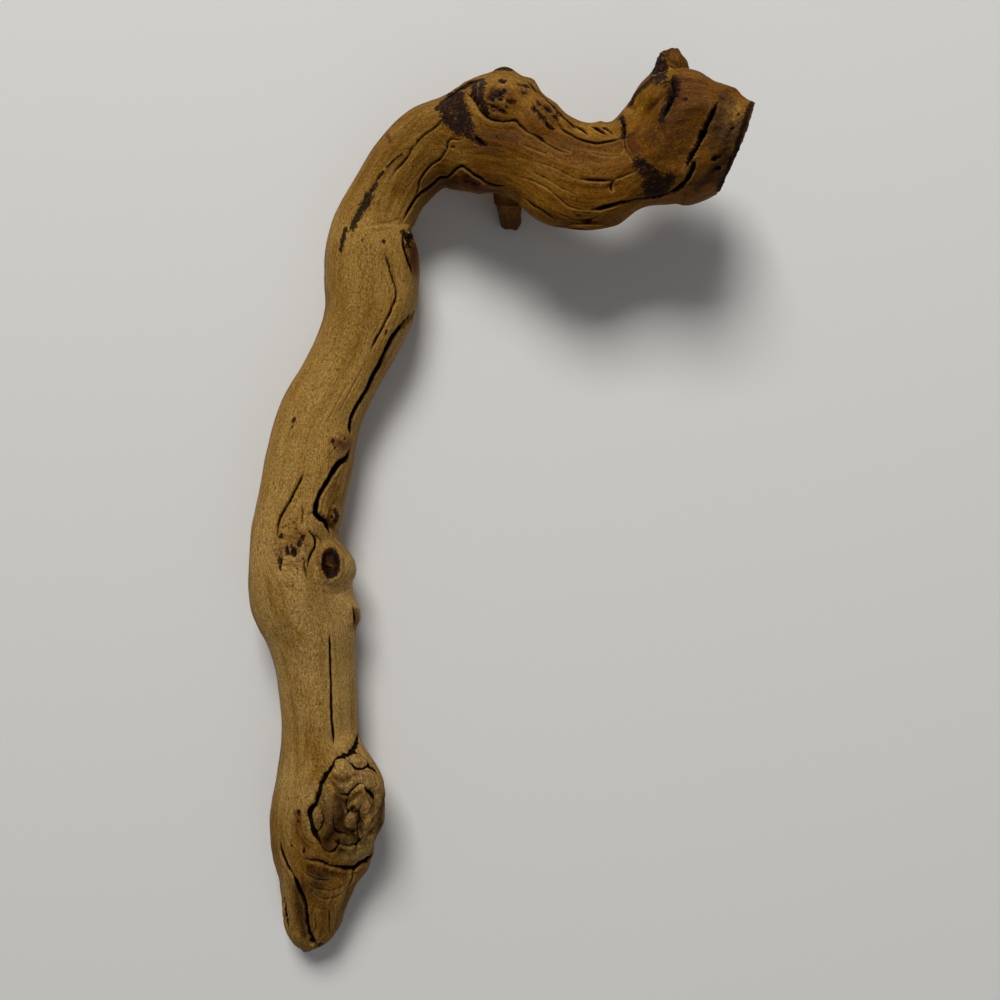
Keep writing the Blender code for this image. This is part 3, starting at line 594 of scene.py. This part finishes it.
# Soft changes of tone: place, half-sizes, and how much darker (or paler, below zero). A few are painted light and
# shade: the darker lower sides of the crest and the arm are painted shade, and the paler lobe right of the knots is a
# painted highlight.
toneAndShadingPlaces = (
    (342, 770, 10, 6, -0.3), (288, 880, 5, 24, -0.25), (292, 797, 9, 18, -0.42), (345, 590, 7, 11, -0.9),
    (372, 262, 12, 16, -0.25), (405, 270, 6, 14, -0.2), (500, 132, 26, 9, 0.42), (582, 143, 20, 5, 0.2),
    (560, 160, 34, 12, 0.14), (548, 176, 20, 8, -0.15), (640, 198, 14, 4, 0.25), (350, 815, 14, 18, -0.15),
    (358, 790, 9, 10, -0.2), (365, 840, 6, 12, -0.25), (640, 108, 8, 9, -0.45), (668, 135, 17, 19, 0.25),
    (476, 178, 20, 6, 0.3), (592, 131, 14, 3.5, -0.45), (426, 170, 12, 16, 0.15), (590, 222, 24, 7, 0.3),
    (305, 547, 11, 13, 0.06), (330, 563, 8, 10, 0.2), (272, 545, 10, 24, -0.16), (380, 350, 5, 18, 0.2),
    (440, 190, 13, 9, 0.62), (316, 880, 7, 11, 0.6), (412, 255, 4, 9, 0.6), (731, 112, 7, 9, -0.45),
    (708, 152, 6, 10, -0.4), (735, 165, 5, 14, 0.25), (500, 150, 18, 6, 0.1), (675, 62, 4, 8, -0.2),
    (499, 98, 10, 10, -0.18), (546, 113, 9, 9, -0.18), (333, 495, 5, 17, 0.3), (345, 850, 9, 5, -0.15),
    (713, 165, 8, 12, 0.2), (336, 824, 8, 16, 0.3), (318, 905, 12, 16, 0.14),
)


def besideLine(seen, facing, line, reach):
    # The seen points within reach of a line of the picture: their indexes, and how far each is from it.
    path = fromPicture(np.reshape(line, (-1, 2)))
    stops = distanceAlong(path)
    curve = alongCurve(stops, path, np.linspace(0, stops[-1], max(3, int(stops[-1] / 1.5))))
    flat = np.concatenate([seen, np.zeros(seen.shape[:2] + (1,))], axis=-1)
    near, away, _, _ = nearLine(flat, np.column_stack([curve, 0 * curve[:, 0]]), reach)
    kept = facing.reshape(-1)[near]
    return near[kept], sizes(away[kept])


def ovalShare(seen, place, halfSizes):
    # How far each point is from a place of the picture: 1 on the oval with the given half-sizes.
    return sizes((seen - fromPicture(place)) / halfSizes)


def sightOf(points, normals):
    # How squarely each point faces the camera: 1 full on, 0 edge on.
    look = np.array(camera["eye"]) - points
    return np.sum(normals * look, axis=-1) / sizes(look)


# The small relief: heights and noise sizes in millimetres. A size along the grain is across it twice, then along.
weathering = {
    "rings": 0.35,               # a knot's rings, as a share of the knot's height
    "parting": 0.7,              # how far the grain parts round a knot
    "knotCalm": 0.4,             # how much less relief a knot has
    "flutes": 0.75, "fluteSize": (9, 9, 95),
    "ridges": 0.28, "ridgeSize": (5.5, 5.5, 70),
    "fibreSize": (1.5, 1.5, 26),
    "gnarl": 1.8, "gnarlSizes": (7.5, 4.2), "gnarlRise": 0.45,
    "hidden": 0.5,               # slow waves of the sides that the camera doesn't see
    "bark": 0.30, "barkScales": 0.5,
}


def weathered(points, bar, base, rough, hidden=()):
    # Adds every layer of detail along the normals of a grid, and returns it with the values that the finish
    # reads. base holds each ring's tone, flute depth and fibre depth.
    normals = outward(points)
    sight = sightOf(points, normals)
    facing = sight > 0.12
    upSide = smooth(-0.1, 0.35, sight)
    seen = seenAt(points)
    tone, flute, fibre = (base[:, i:i + 1] + np.zeros(points.shape[:2]) for i in range(3))
    relief, knot, red, dark, ring, bark, crack = (np.full(points.shape[:2], level)
                                                  for level in (0.0, 0.0, 0.0, 0.0, 60.0, -2.0, -3.0))

    # The grain parts round each knot, as water round a stone.
    along = unit(np.gradient(points, axis=0)[..., :2])
    waver = layered(points / 5.5, 31, 2)
    for *place, radius, height, count in knots:
        off = seen - fromPicture(place)
        far = sizes(off)
        across = -off[..., 0] * along[..., 1] + off[..., 1] * along[..., 0]
        bar[..., 0] -= weathering["parting"] * upSide * across * radius**2 / np.maximum(far**2, radius**2)
        far = far + 0.22 * radius * waver
        knot = np.maximum(knot, upSide * smooth(1.2 * radius, 0.7 * radius, far))
        ring = np.minimum(ring, np.where(upSide > 0.02, far, 60.0))
        rings = np.cos(2 * math.pi * far / (0.34 * radius)) * smooth(1.5 * radius, 0.8 * radius, far)
        relief += upSide * height * weathering["rings"] * rings

    waver = 0.35 * noise(points / 6, 9)
    for *place, across, down, strength in roughPlaces:
        far = ovalShare(seen, place, (across, down)) + waver
        rough = np.maximum(rough, strength * upSide * smooth(1.25, 0.75, far))
    # Some tone places darken the lower sides of the crest and the arm, painted shade, and pale one lobe, a painted
    # highlight.
    for *place, across, down, change in toneAndShadingPlaces:
        tone += change * upSide * np.exp(-ovalShare(seen, place, (across, down)) ** 2)
    tone += 0.08 * (1 - upSide) + 0.16 * layered(points / 38, 11) + 0.08 * layered(bar / (6, 6, 60), 12)
    # Grooves are painted darker and ridges paler: painted shade and painted highlights that follow the relief.
    for width, height, darker, line in strokes:
        near, far = besideLine(seen, facing, line, 3 * width)
        bell = np.exp(-(far / width) ** 2)
        relief.reshape(-1)[near] += height * bell
        tone.reshape(-1)[near] += darker * bell

    # Long flutes and fibres follow the grain; rough places are gnarled in every direction.
    ridges = 0.45 - 2 * np.abs(noise(bar / weathering["ridgeSize"], 4))
    flutes = weathering["flutes"] * layered(bar / weathering["fluteSize"], 1)
    relief += flute * (flutes + weathering["ridges"] * ridges * (2 - upSide))
    relief += fibre * layered(bar / weathering["fibreSize"], 2, 2)
    coarse, fine = weathering["gnarlSizes"]
    gnarl = layered(points / coarse, 6, 4) - 0.9 * np.abs(noise(points / fine, 8))
    relief += rough * (weathering["gnarl"] * gnarl + weathering["gnarlRise"])
    relief += weathering["hidden"] * (1 - upSide) * layered(points / 16, 13)
    relief *= 1 - weathering["knotCalm"] * knot
    points = points + normals * relief[..., None]
    normals = outward(points)

    # Bark, with the painted shade of the dark hollow strips, is 1 on its patch's line and 0 at its edge.
    for patches, field, profile in ((barkPatches, bark, lambda share: 1 - share),
                                    (redPatches, red, lambda share: np.exp(-share**2))):
        for width, line in patches:
            near, far = besideLine(seen, facing, line, 3 * width)
            field.reshape(-1)[near] = np.maximum(field.reshape(-1)[near], profile(far / width))
    scale = smooth(-0.1, 0.35, bark + 0.6 * noise(bar / (1.6, 1.6, 5), 15))
    thick = weathering["bark"] + weathering["barkScales"] * noise(points / 1.8, 16)
    points += normals * (scale * thick)[..., None]

    extra = np.random.default_rng(19)
    scattered = []
    for *place, radius, _, count in knots:
        far = 1.7 * radius * np.sqrt(extra.random(count))
        turn, size = 6.283 * extra.random(count), extra.random(count)
        scattered += zip(place[0] + far * np.cos(turn), place[1] + far * np.sin(turn), 0.3 + 0.45 * size,
                         0.3 + 0.45 * size)
    waver = 0.9 * layered(points / 2.4, 33, 2)
    # Each pit sinks and is painted dark: painted shade in the hollow, over the pit's own dark.
    for *place, radius, depth in (*pits, *scattered):
        off = seen - fromPicture(place)
        ahead = np.sum(off * along, axis=-1)
        across = off[..., 0] * along[..., 1] - off[..., 1] * along[..., 0]
        far = np.hypot(0.72 * ahead, 1.25 * across) + radius * waver
        points -= normals * (depth * smooth(1.3 * radius, 0.2 * radius, far) * upSide)[..., None]
        dark = np.maximum(dark, smooth(1.45 * radius, 0.45 * radius, far) * upSide)

    # The hole of the fallen branch: an oval hollow with a raised rim, painted darker inside and near black just
    # inside its rim: painted shade in the hollow.
    far = ovalShare(seen, knotHole["place"], knotHole["halfSizes"]) + 0.12 * noise(points / 3, 35)
    points -= normals * (knotHole["depth"] * smooth(1.0, 0.35, far) * upSide)[..., None]
    points += normals * (knotHole["lip"] * upSide * np.exp(-((far - 1.3) / 0.3) ** 2))[..., None]
    dark = np.maximum(dark, 1.2 * upSide * np.exp(-((far - 0.90) / 0.22) ** 2))
    tone += 1.0 * smooth(1.1, 0.8, far) * upSide

    normals = outward(points)
    look = unit(np.array(camera["eye"]) - points)
    for width, depth, line in cracks:
        places = ontoSurface(linePoints(line), points, facing)
        if len(places) > 3:
            cutCrack(points, normals, crack, places, width, depth, look)
    for width, depth, line in hidden:
        cutCrack(points, normals, crack, line, width, depth)
    points[..., 2] = np.maximum(points[..., 2], 0.0)
    return points, {"tone": tone, "crack": crack, "bark": bark, "knot": knot, "ring": ring, "rough": rough,
                    "dark": dark, "red": red}


def carve():
    # The whole trunk: its form, its broken end and its weathering.
    points, bar, at, upper = trunkForm()
    points, bar, upper, onFace = breakOff(points, bar, upper, at)
    at = np.concatenate([at, np.full(len(points) - len(at), at[-1])])
    places, *layers = np.array(driftwood["character"]).T
    base = np.stack([np.interp(at, places, layer) for layer in layers], axis=-1)
    hidden = []
    for width, depth, path in hiddenCracks:
        path = np.reshape(path, (-1, 2)).astype(float)
        fine, share = np.linspace(0, 1, 160), np.linspace(0, 1, len(path))
        places = np.column_stack([np.interp(fine, share, path[:, 0]),
                                  np.interp(fine, share, np.unwrap(path[:, 1], period=1.0))])
        places[:, 1] += 0.006 * wander(fine * 9, (width, depth), 21)
        line = atGrid(places, points, at)
        line = line[np.concatenate([[True], sizes(np.diff(line, axis=0)) > 1e-3])]
        line[1:-1] = (line[:-2] + 2 * line[1:-1] + line[2:]) / 4
        hidden.append((width, depth, line))
    points, values = weathered(points, bar, base, onFace, hidden)
    return points, bar, values


def newPiece(name, grid, values, grain):
    # Joins a grid of rings into one closed skin, with a fan at each end, and stores its values. Each square is
    # split along the diagonal that lies deeper in a crack, so that cracks keep a clean edge.
    count, sides, _ = grid.shape
    corners = np.arange(count * sides).reshape(count, sides)
    after = np.roll(corners, -1, axis=1)
    a, b, c, d = (each.ravel() for each in (corners[:-1], after[:-1], after[1:], corners[1:]))
    crack = values["crack"].ravel()
    straight = (crack[a] + crack[c] >= crack[b] + crack[d])[:, None]
    faces = np.concatenate([np.where(straight, np.stack([a, b, c], -1), np.stack([a, b, d], -1)),
                            np.where(straight, np.stack([a, c, d], -1), np.stack([b, c, d], -1))])
    first, last = count * sides, count * sides + 1
    fans = (np.stack([after[0], corners[0], np.full(sides, first)], -1),
            np.stack([corners[-1], after[-1], np.full(sides, last)], -1))

    def closed(field):
        flat = field.reshape(count * sides, -1)
        return np.concatenate([flat, [flat[:sides].mean(axis=0), flat[-sides:].mean(axis=0)]])

    mesh = bpy.data.meshes.new(name)
    mesh.from_pydata((closed(grid) * metres).tolist(), [], np.concatenate([faces, *fans]).tolist())
    for label, field in values.items():
        store = mesh.attributes.new(label, "FLOAT", "POINT")
        store.data.foreach_set("value", closed(np.asarray(field, float)).ravel().astype(np.float32))
    store = mesh.attributes.new("grain", "FLOAT_VECTOR", "POINT")
    store.data.foreach_set("vector", closed(grain).ravel().astype(np.float32))
    mesh.shade_smooth()
    made = bpy.data.objects.new(name, mesh)
    bpy.context.scene.collection.objects.link(made)
    return made


# The short spur on the broken block: its path, half-width and half-thickness.
spur = {
    "path": ((84, 188, 56, 9, 9), (83, 194.5, 59, 10.5, 11), (82, 200.5, 61.5, 10.8, 12),
             (82.2, 205, 63, 9.4, 10.5), (83.2, 209, 63.5, 7.9, 9), (83, 213, 64, 6.4, 7.5),
             (83.2, 216, 64, 4.9, 6), (84.4, 218, 64, 3.4, 4.2)),
    "power": 2.2, "rings": 56, "columns": 88, "looks": (1.10, 1.1, 0.34), "rough": 0.35,
}
# The broken stub under the arm, from the floor up: its path and half-widths.
peg = {
    "path": ((9.2, 156, 0, 4.7, 5.4), (9.2, 156, 1.2, 4.9, 5.8), (9, 156.5, 12, 5.3, 6.2),
             (8.4, 158, 22, 5.9, 6.8), (8, 160, 29, 6.5, 7.6), (7.8, 162.5, 36, 7.4, 9)),
    "power": 3.6, "rings": 46, "columns": 64, "looks": (0.95, 1, 0.30), "rough": 0.15,
}
limbGrain = np.array([0, 0, 700.0])  # the limbs' grain starts here, beyond the end of the trunk's


def limb(name, kind, upright):
    # A superellipse round each point of the path, level where the limb stands and upright where it lies, with
    # flutes along it.
    path = np.array(kind["path"], float)
    at = distanceAlong(path[:, :3])
    places = np.linspace(0, at[-1], kind["rings"])
    x, y, z, wide, thick = alongCurve(at, path, places).T[:, :, None]
    angle = np.linspace(0, 2 * math.pi, kind["columns"], endpoint=False)[None, :]
    cos, sin = (np.sign(part) * np.abs(part) ** (2 / kind["power"]) for part in (np.cos(angle), np.sin(angle)))
    bar = np.stack([wide * cos, thick * sin, places[:, None] + 0 * angle], axis=-1)
    flutes = 1 + 0.09 * layered(bar / (4, 4, 18) + 40, 5, 3)
    grid = np.repeat(np.stack([x, y, z], axis=-1), kind["columns"], axis=1)
    grid[..., 0] += bar[..., 0] * flutes
    grid[..., 1 if upright else 2] += bar[..., 1] * flutes
    if not upright:
        grid, bar = grid[:, ::-1], bar[:, ::-1]
    base = np.repeat([kind["looks"]], kind["rings"], axis=0)
    grid, values = weathered(grid, bar + limbGrain, base, np.full(grid.shape[:2], kind["rough"]))
    if upright:
        grid[0, :, 2] = 0
    return newPiece(name, grid, values, bar + limbGrain)


def joinedSolid(name, parts):
    # One Boolean union, kept as a plain mesh with the values of its parts.
    trunk, others = parts[0], parts[1:]
    group = bpy.data.collections.new("growths")
    for other in others:
        group.objects.link(other)
    step = trunk.modifiers.new("growths", "BOOLEAN")
    step.operation, step.operand_type, step.collection, step.solver = "UNION", "COLLECTION", group, "MANIFOLD"
    bpy.context.view_layer.update()
    mesh = bpy.data.meshes.new_from_object(trunk.evaluated_get(bpy.context.evaluated_depsgraph_get()))
    mesh.name = name
    for part in parts:
        bpy.data.objects.remove(part, do_unlink=True)
    bpy.data.collections.remove(group)
    made = bpy.data.objects.new(name, mesh)
    bpy.context.scene.collection.objects.link(made)
    return made


class Socket:
    # An output of a shader node. Sums written on it add Math nodes to its board.
    def __init__(self, board, source):
        self.board, self.source = board, source

    def sum(self, operation, *others):
        return self.board.node("ShaderNodeMath", {"operation": operation}, dict(enumerate((self, *others))))

    def __add__(self, other):
        return self.sum("ADD", other)

    def __sub__(self, other):
        return self.sum("SUBTRACT", other)

    def __rsub__(self, other):
        return self.board.node("ShaderNodeMath", {"operation": "SUBTRACT"}, {0: other, 1: self})

    def __mul__(self, other):
        return self.sum("MULTIPLY", other)

    __radd__, __rmul__ = __add__, __mul__

    def between(self, low, high):
        # 0 below low, 1 above high, and a smooth climb between.
        return self.board.node("ShaderNodeMapRange", {"interpolation_type": "SMOOTHSTEP"},
                               {"Value": self, "From Min": low, "From Max": high})


class Board:
    # The node tree of one material.
    def __init__(self, name):
        self.material = bpy.data.materials.new(name)
        self.material.use_nodes = True
        self.tree = self.material.node_tree
        self.shader = self.tree.nodes["Principled BSDF"]

    def node(self, kind, settings=None, inputs=None, output=0):
        made = self.tree.nodes.new(kind)
        for label, value in (settings or {}).items():
            setattr(made, label, value)
        for label, value in (inputs or {}).items():
            self.feed(made.inputs[label], value)
        return Socket(self, made.outputs[output])

    def feed(self, target, value):
        if isinstance(value, Socket):
            self.tree.links.new(value.source, target)
        else:
            target.default_value = value

    def stored(self, label, output="Fac"):
        return self.node("ShaderNodeAttribute", {"attribute_name": label}, {}, output)

    def stretched(self, vector, across, along):
        # The grain's coordinates, divided by a size across it and a size along it, in millimetres.
        return self.node("ShaderNodeVectorMath", {"operation": "MULTIPLY"},
                         {0: vector, 1: (1 / across, 1 / across, 1 / along)})

    def cloud(self, vector, size=1.0, detail=2.0, roughness=0.5, warp=0.0):
        return self.node("ShaderNodeTexNoise", {}, {"Vector": vector, "Scale": 1 / size, "Detail": detail,
                                                    "Roughness": roughness, "Distortion": warp}, "Fac")

    def blend(self, share, low, high, how="MIX"):
        return self.node("ShaderNodeMix", {"data_type": "RGBA", "blend_type": how},
                         {0: share, 6: low, 7: high}, 2)


# crack and wine are painted into the crack gaps, the pits and the knot hole's rim: partly painted shade in these
# hollows, over the wood's own dark.
woodColours = {
    "pale": (0.370, 0.206, 0.045, 1), "tan": (0.250, 0.124, 0.016, 1), "brown": (0.150, 0.058, 0.003, 1),
    "deep": (0.055, 0.020, 0.002, 1), "red": (0.100, 0.024, 0.005, 1), "wine": (0.030, 0.008, 0.004, 1),
    "bark": (0.007, 0.003, 0.002, 1), "grey": (0.180, 0.112, 0.048, 1), "crack": (0.004, 0.002, 0.0015, 1),
    "silver": (1.25, 1.5, 2.7, 1), "amber": (1.10, 1.02, 0.45, 1),  # these two multiply the wood's own colour
}


# Patterns along the grain: size across it and along it in millimetres, detail and roughness.
grainPatterns = {
    "wide": (5.0, 80, 3, 0.55), "streak": (1.3, 30, 3, 0.62), "hair": (0.38, 5.0, 3, 0.7),
    "flake": (0.9, 3.2, 3, 0.65), "fleck": (0.55, 1.1, 3, 0.8), "pore": (0.5, 3.0, 1, 0.5),
}
# Patterns that take no notice of the grain: size in metres, detail, roughness and swirl.
freePatterns = {
    "mottle": (0.010, 3, 0.6, 0.0), "speck": (0.0014, 3, 0.65, 0.0), "wrinkle": (0.0120, 2, 0.5, 1.2),
    "curl": (0.0032, 4, 0.65, 2.5),
}
woodFinish = {"roughness": 0.60, "shine": 0.10, "bumpStrength": 0.9, "bumpHeight": 0.001}  # height in metres


def weatheredWood():
    # Pale to deep brown by the stored tone, streaked along the grain, with pores, knots, bark and cracks, and with
    # painted shade in cracks, pits and grooves and painted highlights on crack lips and ridges.
    board = Board("weatheredWood")
    colours = woodColours
    grain = board.stored("grain", "Vector")
    place = board.node("ShaderNodeTexCoord", {}, {}, "Object")
    tone, crack, bark = board.stored("tone"), board.stored("crack"), board.stored("bark")
    knot, ring, rough, dark, red = (board.stored(label) for label in ("knot", "ring", "rough", "dark", "red"))

    def grained(label):
        across, along, detail, roughness = grainPatterns[label]
        return board.cloud(board.stretched(grain, across, along), 1.0, detail, roughness)

    # All but the pores run from -0.5 to 0.5.
    pore = grained("pore")
    wide, streak, hair, flake, fleck = (grained(label) - 0.5
                                        for label in ("wide", "streak", "hair", "flake", "fleck"))
    mottle, speck, wrinkle, curl = (board.cloud(place, *freePatterns[label]) - 0.5
                                    for label in ("mottle", "speck", "wrinkle", "curl"))

    shade = tone + wide * 0.9 + streak * 1.1 + mottle * 0.5 + hair * 0.9 + speck * 0.25
    lines = hair * 1.0 + streak * 0.9
    pores = pore.between(0.66, 0.74) * (0.12 + tone * 0.6)
    along = board.node("ShaderNodeSeparateXYZ", {}, {0: grain}, 2)
    silver = 1 - along.between(10, 60) * 0.65 - along.between(150, 300) * 0.35
    rings = (ring * 2.2 + speck * 3.0 + mottle * 9.0).sum("SINE")
    ragged = rough * ((speck + 0.5) * 0.8 + (mottle + 0.5) * 0.6)
    wrinkles = rough * (1 - (wrinkle * wrinkle * 3000).between(0.1, 1.4)) * (mottle + 0.15).between(-0.1, 0.15)
    # The lips of the cracks are painted paler: a painted highlight on the edges that catch the light.
    lipHighlight = crack.between(-1.3, -0.5) * (1 - crack.between(-0.45, -0.1))
    # The bark mask also paints the dark hollow strips near black: painted shade there, over dark wood.
    barkShare = (bark + flake * 2.2 + speck * 1.5).between(0.05, 0.30)
    barkColour = board.blend((flake + speck * 0.8).between(0.07, 0.22), colours["bark"], colours["red"])
    # Pits and the knot hole's rim are painted wine to near black: painted shade in these hollows, over their own
    # dark.
    blot = dark + (speck * 1.3 + flake * 1.1) * dark.between(0.02, 0.3)

    # The layers over the pale wood, lowest first: how much lies where, its colour, and how it mixes.
    layers = (
        (shade.between(-0.10, 0.42), "tan"), (shade.between(0.22, 0.80), "brown"),
        (shade.between(0.70, 1.30), "deep"),
        (lines.between(0.06, 0.45) * 0.75, "deep"), ((0 - lines).between(0.05, 0.50) * 0.35, "pale"),
        (pores, "deep"),
        (1.0, 1 + fleck * 3.4 + hair * 2.0 + streak * 0.7 + speck * 0.9, "MULTIPLY"),
        (rough, 1 + curl * 3.4, "MULTIPLY"), (silver, "silver", "MULTIPLY"),
        (along.between(420, 500) * (1 - rough), "amber", "MULTIPLY"),
        ((red + flake * 0.5).between(0.2, 0.9) * 0.75, "red"),
        (knot * (speck + mottle).between(-0.25, 0.25) * 0.5, "red"), (knot * rings.between(0.1, 1.2) * 0.45, "deep"),
        ((ragged * (0.7 + tone * 0.6)).between(0.28, 0.75) * 0.75, "deep"),
        ((rough * (speck + flake + mottle + 0.5)).between(0.25, 0.66) * (0.75 - tone * 0.45), "grey"),
        (wrinkles * 0.5, "deep"), (lipHighlight * (1 - rough) * 0.28, "pale"), (barkShare * 0.95, barkColour),
        (blot.between(0.25, 0.55) * 0.92, "wine"), (blot.between(0.65, 1.0) * 0.92, "crack"),
        # The gaps of the cracks are painted near black: painted shade deep in each gap, over the split wood's own
        # dark.
        (crack.between(-0.10, 0.14), "crack"),
    )
    colour = colours["pale"]
    for share, over, *how in layers:
        colour = board.blend(share, colour, colours[over] if isinstance(over, str) else over, *how)

    height = (hair * 0.16 + streak * 0.30 - pores * 0.10 - wrinkles * 0.35
              + fleck * 0.14 + curl * rough * 1.1 + speck * (0.06 + rough * 0.35 + barkShare * 0.5))
    bump = board.node("ShaderNodeBump", {}, {"Strength": woodFinish["bumpStrength"],
                                             "Distance": woodFinish["bumpHeight"], "Height": height})
    board.feed(board.shader.inputs["Base Color"], colour)
    board.feed(board.shader.inputs["Roughness"], woodFinish["roughness"] + rough * 0.2 + streak * 0.3)
    board.feed(board.shader.inputs["Normal"], bump)
    board.feed(board.shader.inputs["Specular IOR Level"], woodFinish["shine"])
    return board.material


def plainFloor():
    board = Board("plainFloor")
    board.feed(board.shader.inputs["Base Color"], (0.80, 0.795, 0.78, 1))
    board.feed(board.shader.inputs["Roughness"], 0.85)
    return board.material


floorSheet = {"halfWidth": 2.5}


def layFloor():
    # One square sheet under the piece, which belongs to the view only.
    half = floorSheet["halfWidth"]
    mesh = bpy.data.meshes.new("floor")
    mesh.from_pydata([(-half, -half, 0), (half, -half, 0), (half, half, 0), (-half, half, 0)], [], [(0, 1, 2, 3)])
    mesh.materials.append(plainFloor())
    floor = bpy.data.objects.new("floor", mesh)
    bpy.context.scene.collection.objects.link(floor)


# Lamps: where each stands and what it points at, in metres, its width, power and colour.
lamps = {
    "key": {"at": (-0.38, 2.10, 2.40), "to": (0.0, 0.0, 0.0), "width": 1.2, "power": 76, "colour": (1, 0.985, 0.95)},
    "fill": {"at": (0.9, -1.2, 2.6), "to": (0.0, 0.0, 0.0), "width": 2.4, "power": 7, "colour": (0.95, 0.98, 1)},
}
sky = {"colour": (0.97, 0.98, 1.0, 1), "strength": 0.11}


def aimed(name, data, at, to):
    # An object at one point, turned to look at another.
    made = bpy.data.objects.new(name, data)
    bpy.context.scene.collection.objects.link(made)
    start, look = np.array(at, float), np.array(to, float) - np.array(at, float)
    made.location = start
    flat = math.hypot(look[0], look[1])
    made.rotation_euler = (math.atan2(flat, -look[2]), 0.0, math.atan2(-look[0], look[1]) if flat > 1e-9 else 0.0)
    return made


def setUpView():
    bpy.context.scene.view_settings.view_transform = "Standard"  # so that the finish shows its own colours
    for name, lamp in lamps.items():
        data = bpy.data.lights.new(name, "AREA")
        data.size, data.energy, data.color = lamp["width"], lamp["power"], lamp["colour"]
        aimed(name, data, lamp["at"], lamp["to"])
    world = bpy.data.worlds.new("sky")
    world.use_nodes = True
    world.node_tree.nodes["Background"].inputs["Color"].default_value = sky["colour"]
    world.node_tree.nodes["Background"].inputs["Strength"].default_value = sky["strength"]
    bpy.context.scene.world = world

    data = bpy.data.cameras.new("camera")
    drop = camera["eye"][2] - camera["plane"]
    data.sensor_width = camera["sensor"]
    data.lens = camera["sensor"] / 2 * drop / camera["halfWidth"]
    eye = np.array(camera["eye"]) * metres
    bpy.context.scene.camera = aimed("camera", data, eye, eye - (0, 0, 1))


print("carving the trunk")
grid, grain, values = carve()
trunk = newPiece("trunk", grid, values, grain)
print("joining the spur and the peg")
wood = joinedSolid("driftwoodPiece", [trunk, limb("spur", spur, False), limb("peg", peg, True)])
wood.data.materials.clear()
wood.data.materials.append(weatheredWood())
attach(wood, "root")
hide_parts("driftwood")
print("piece has", sum(len(p.vertices) - 2 for p in wood.data.polygons), "triangles")

print("laying the floor and setting the lights")
layFloor()
setUpView()
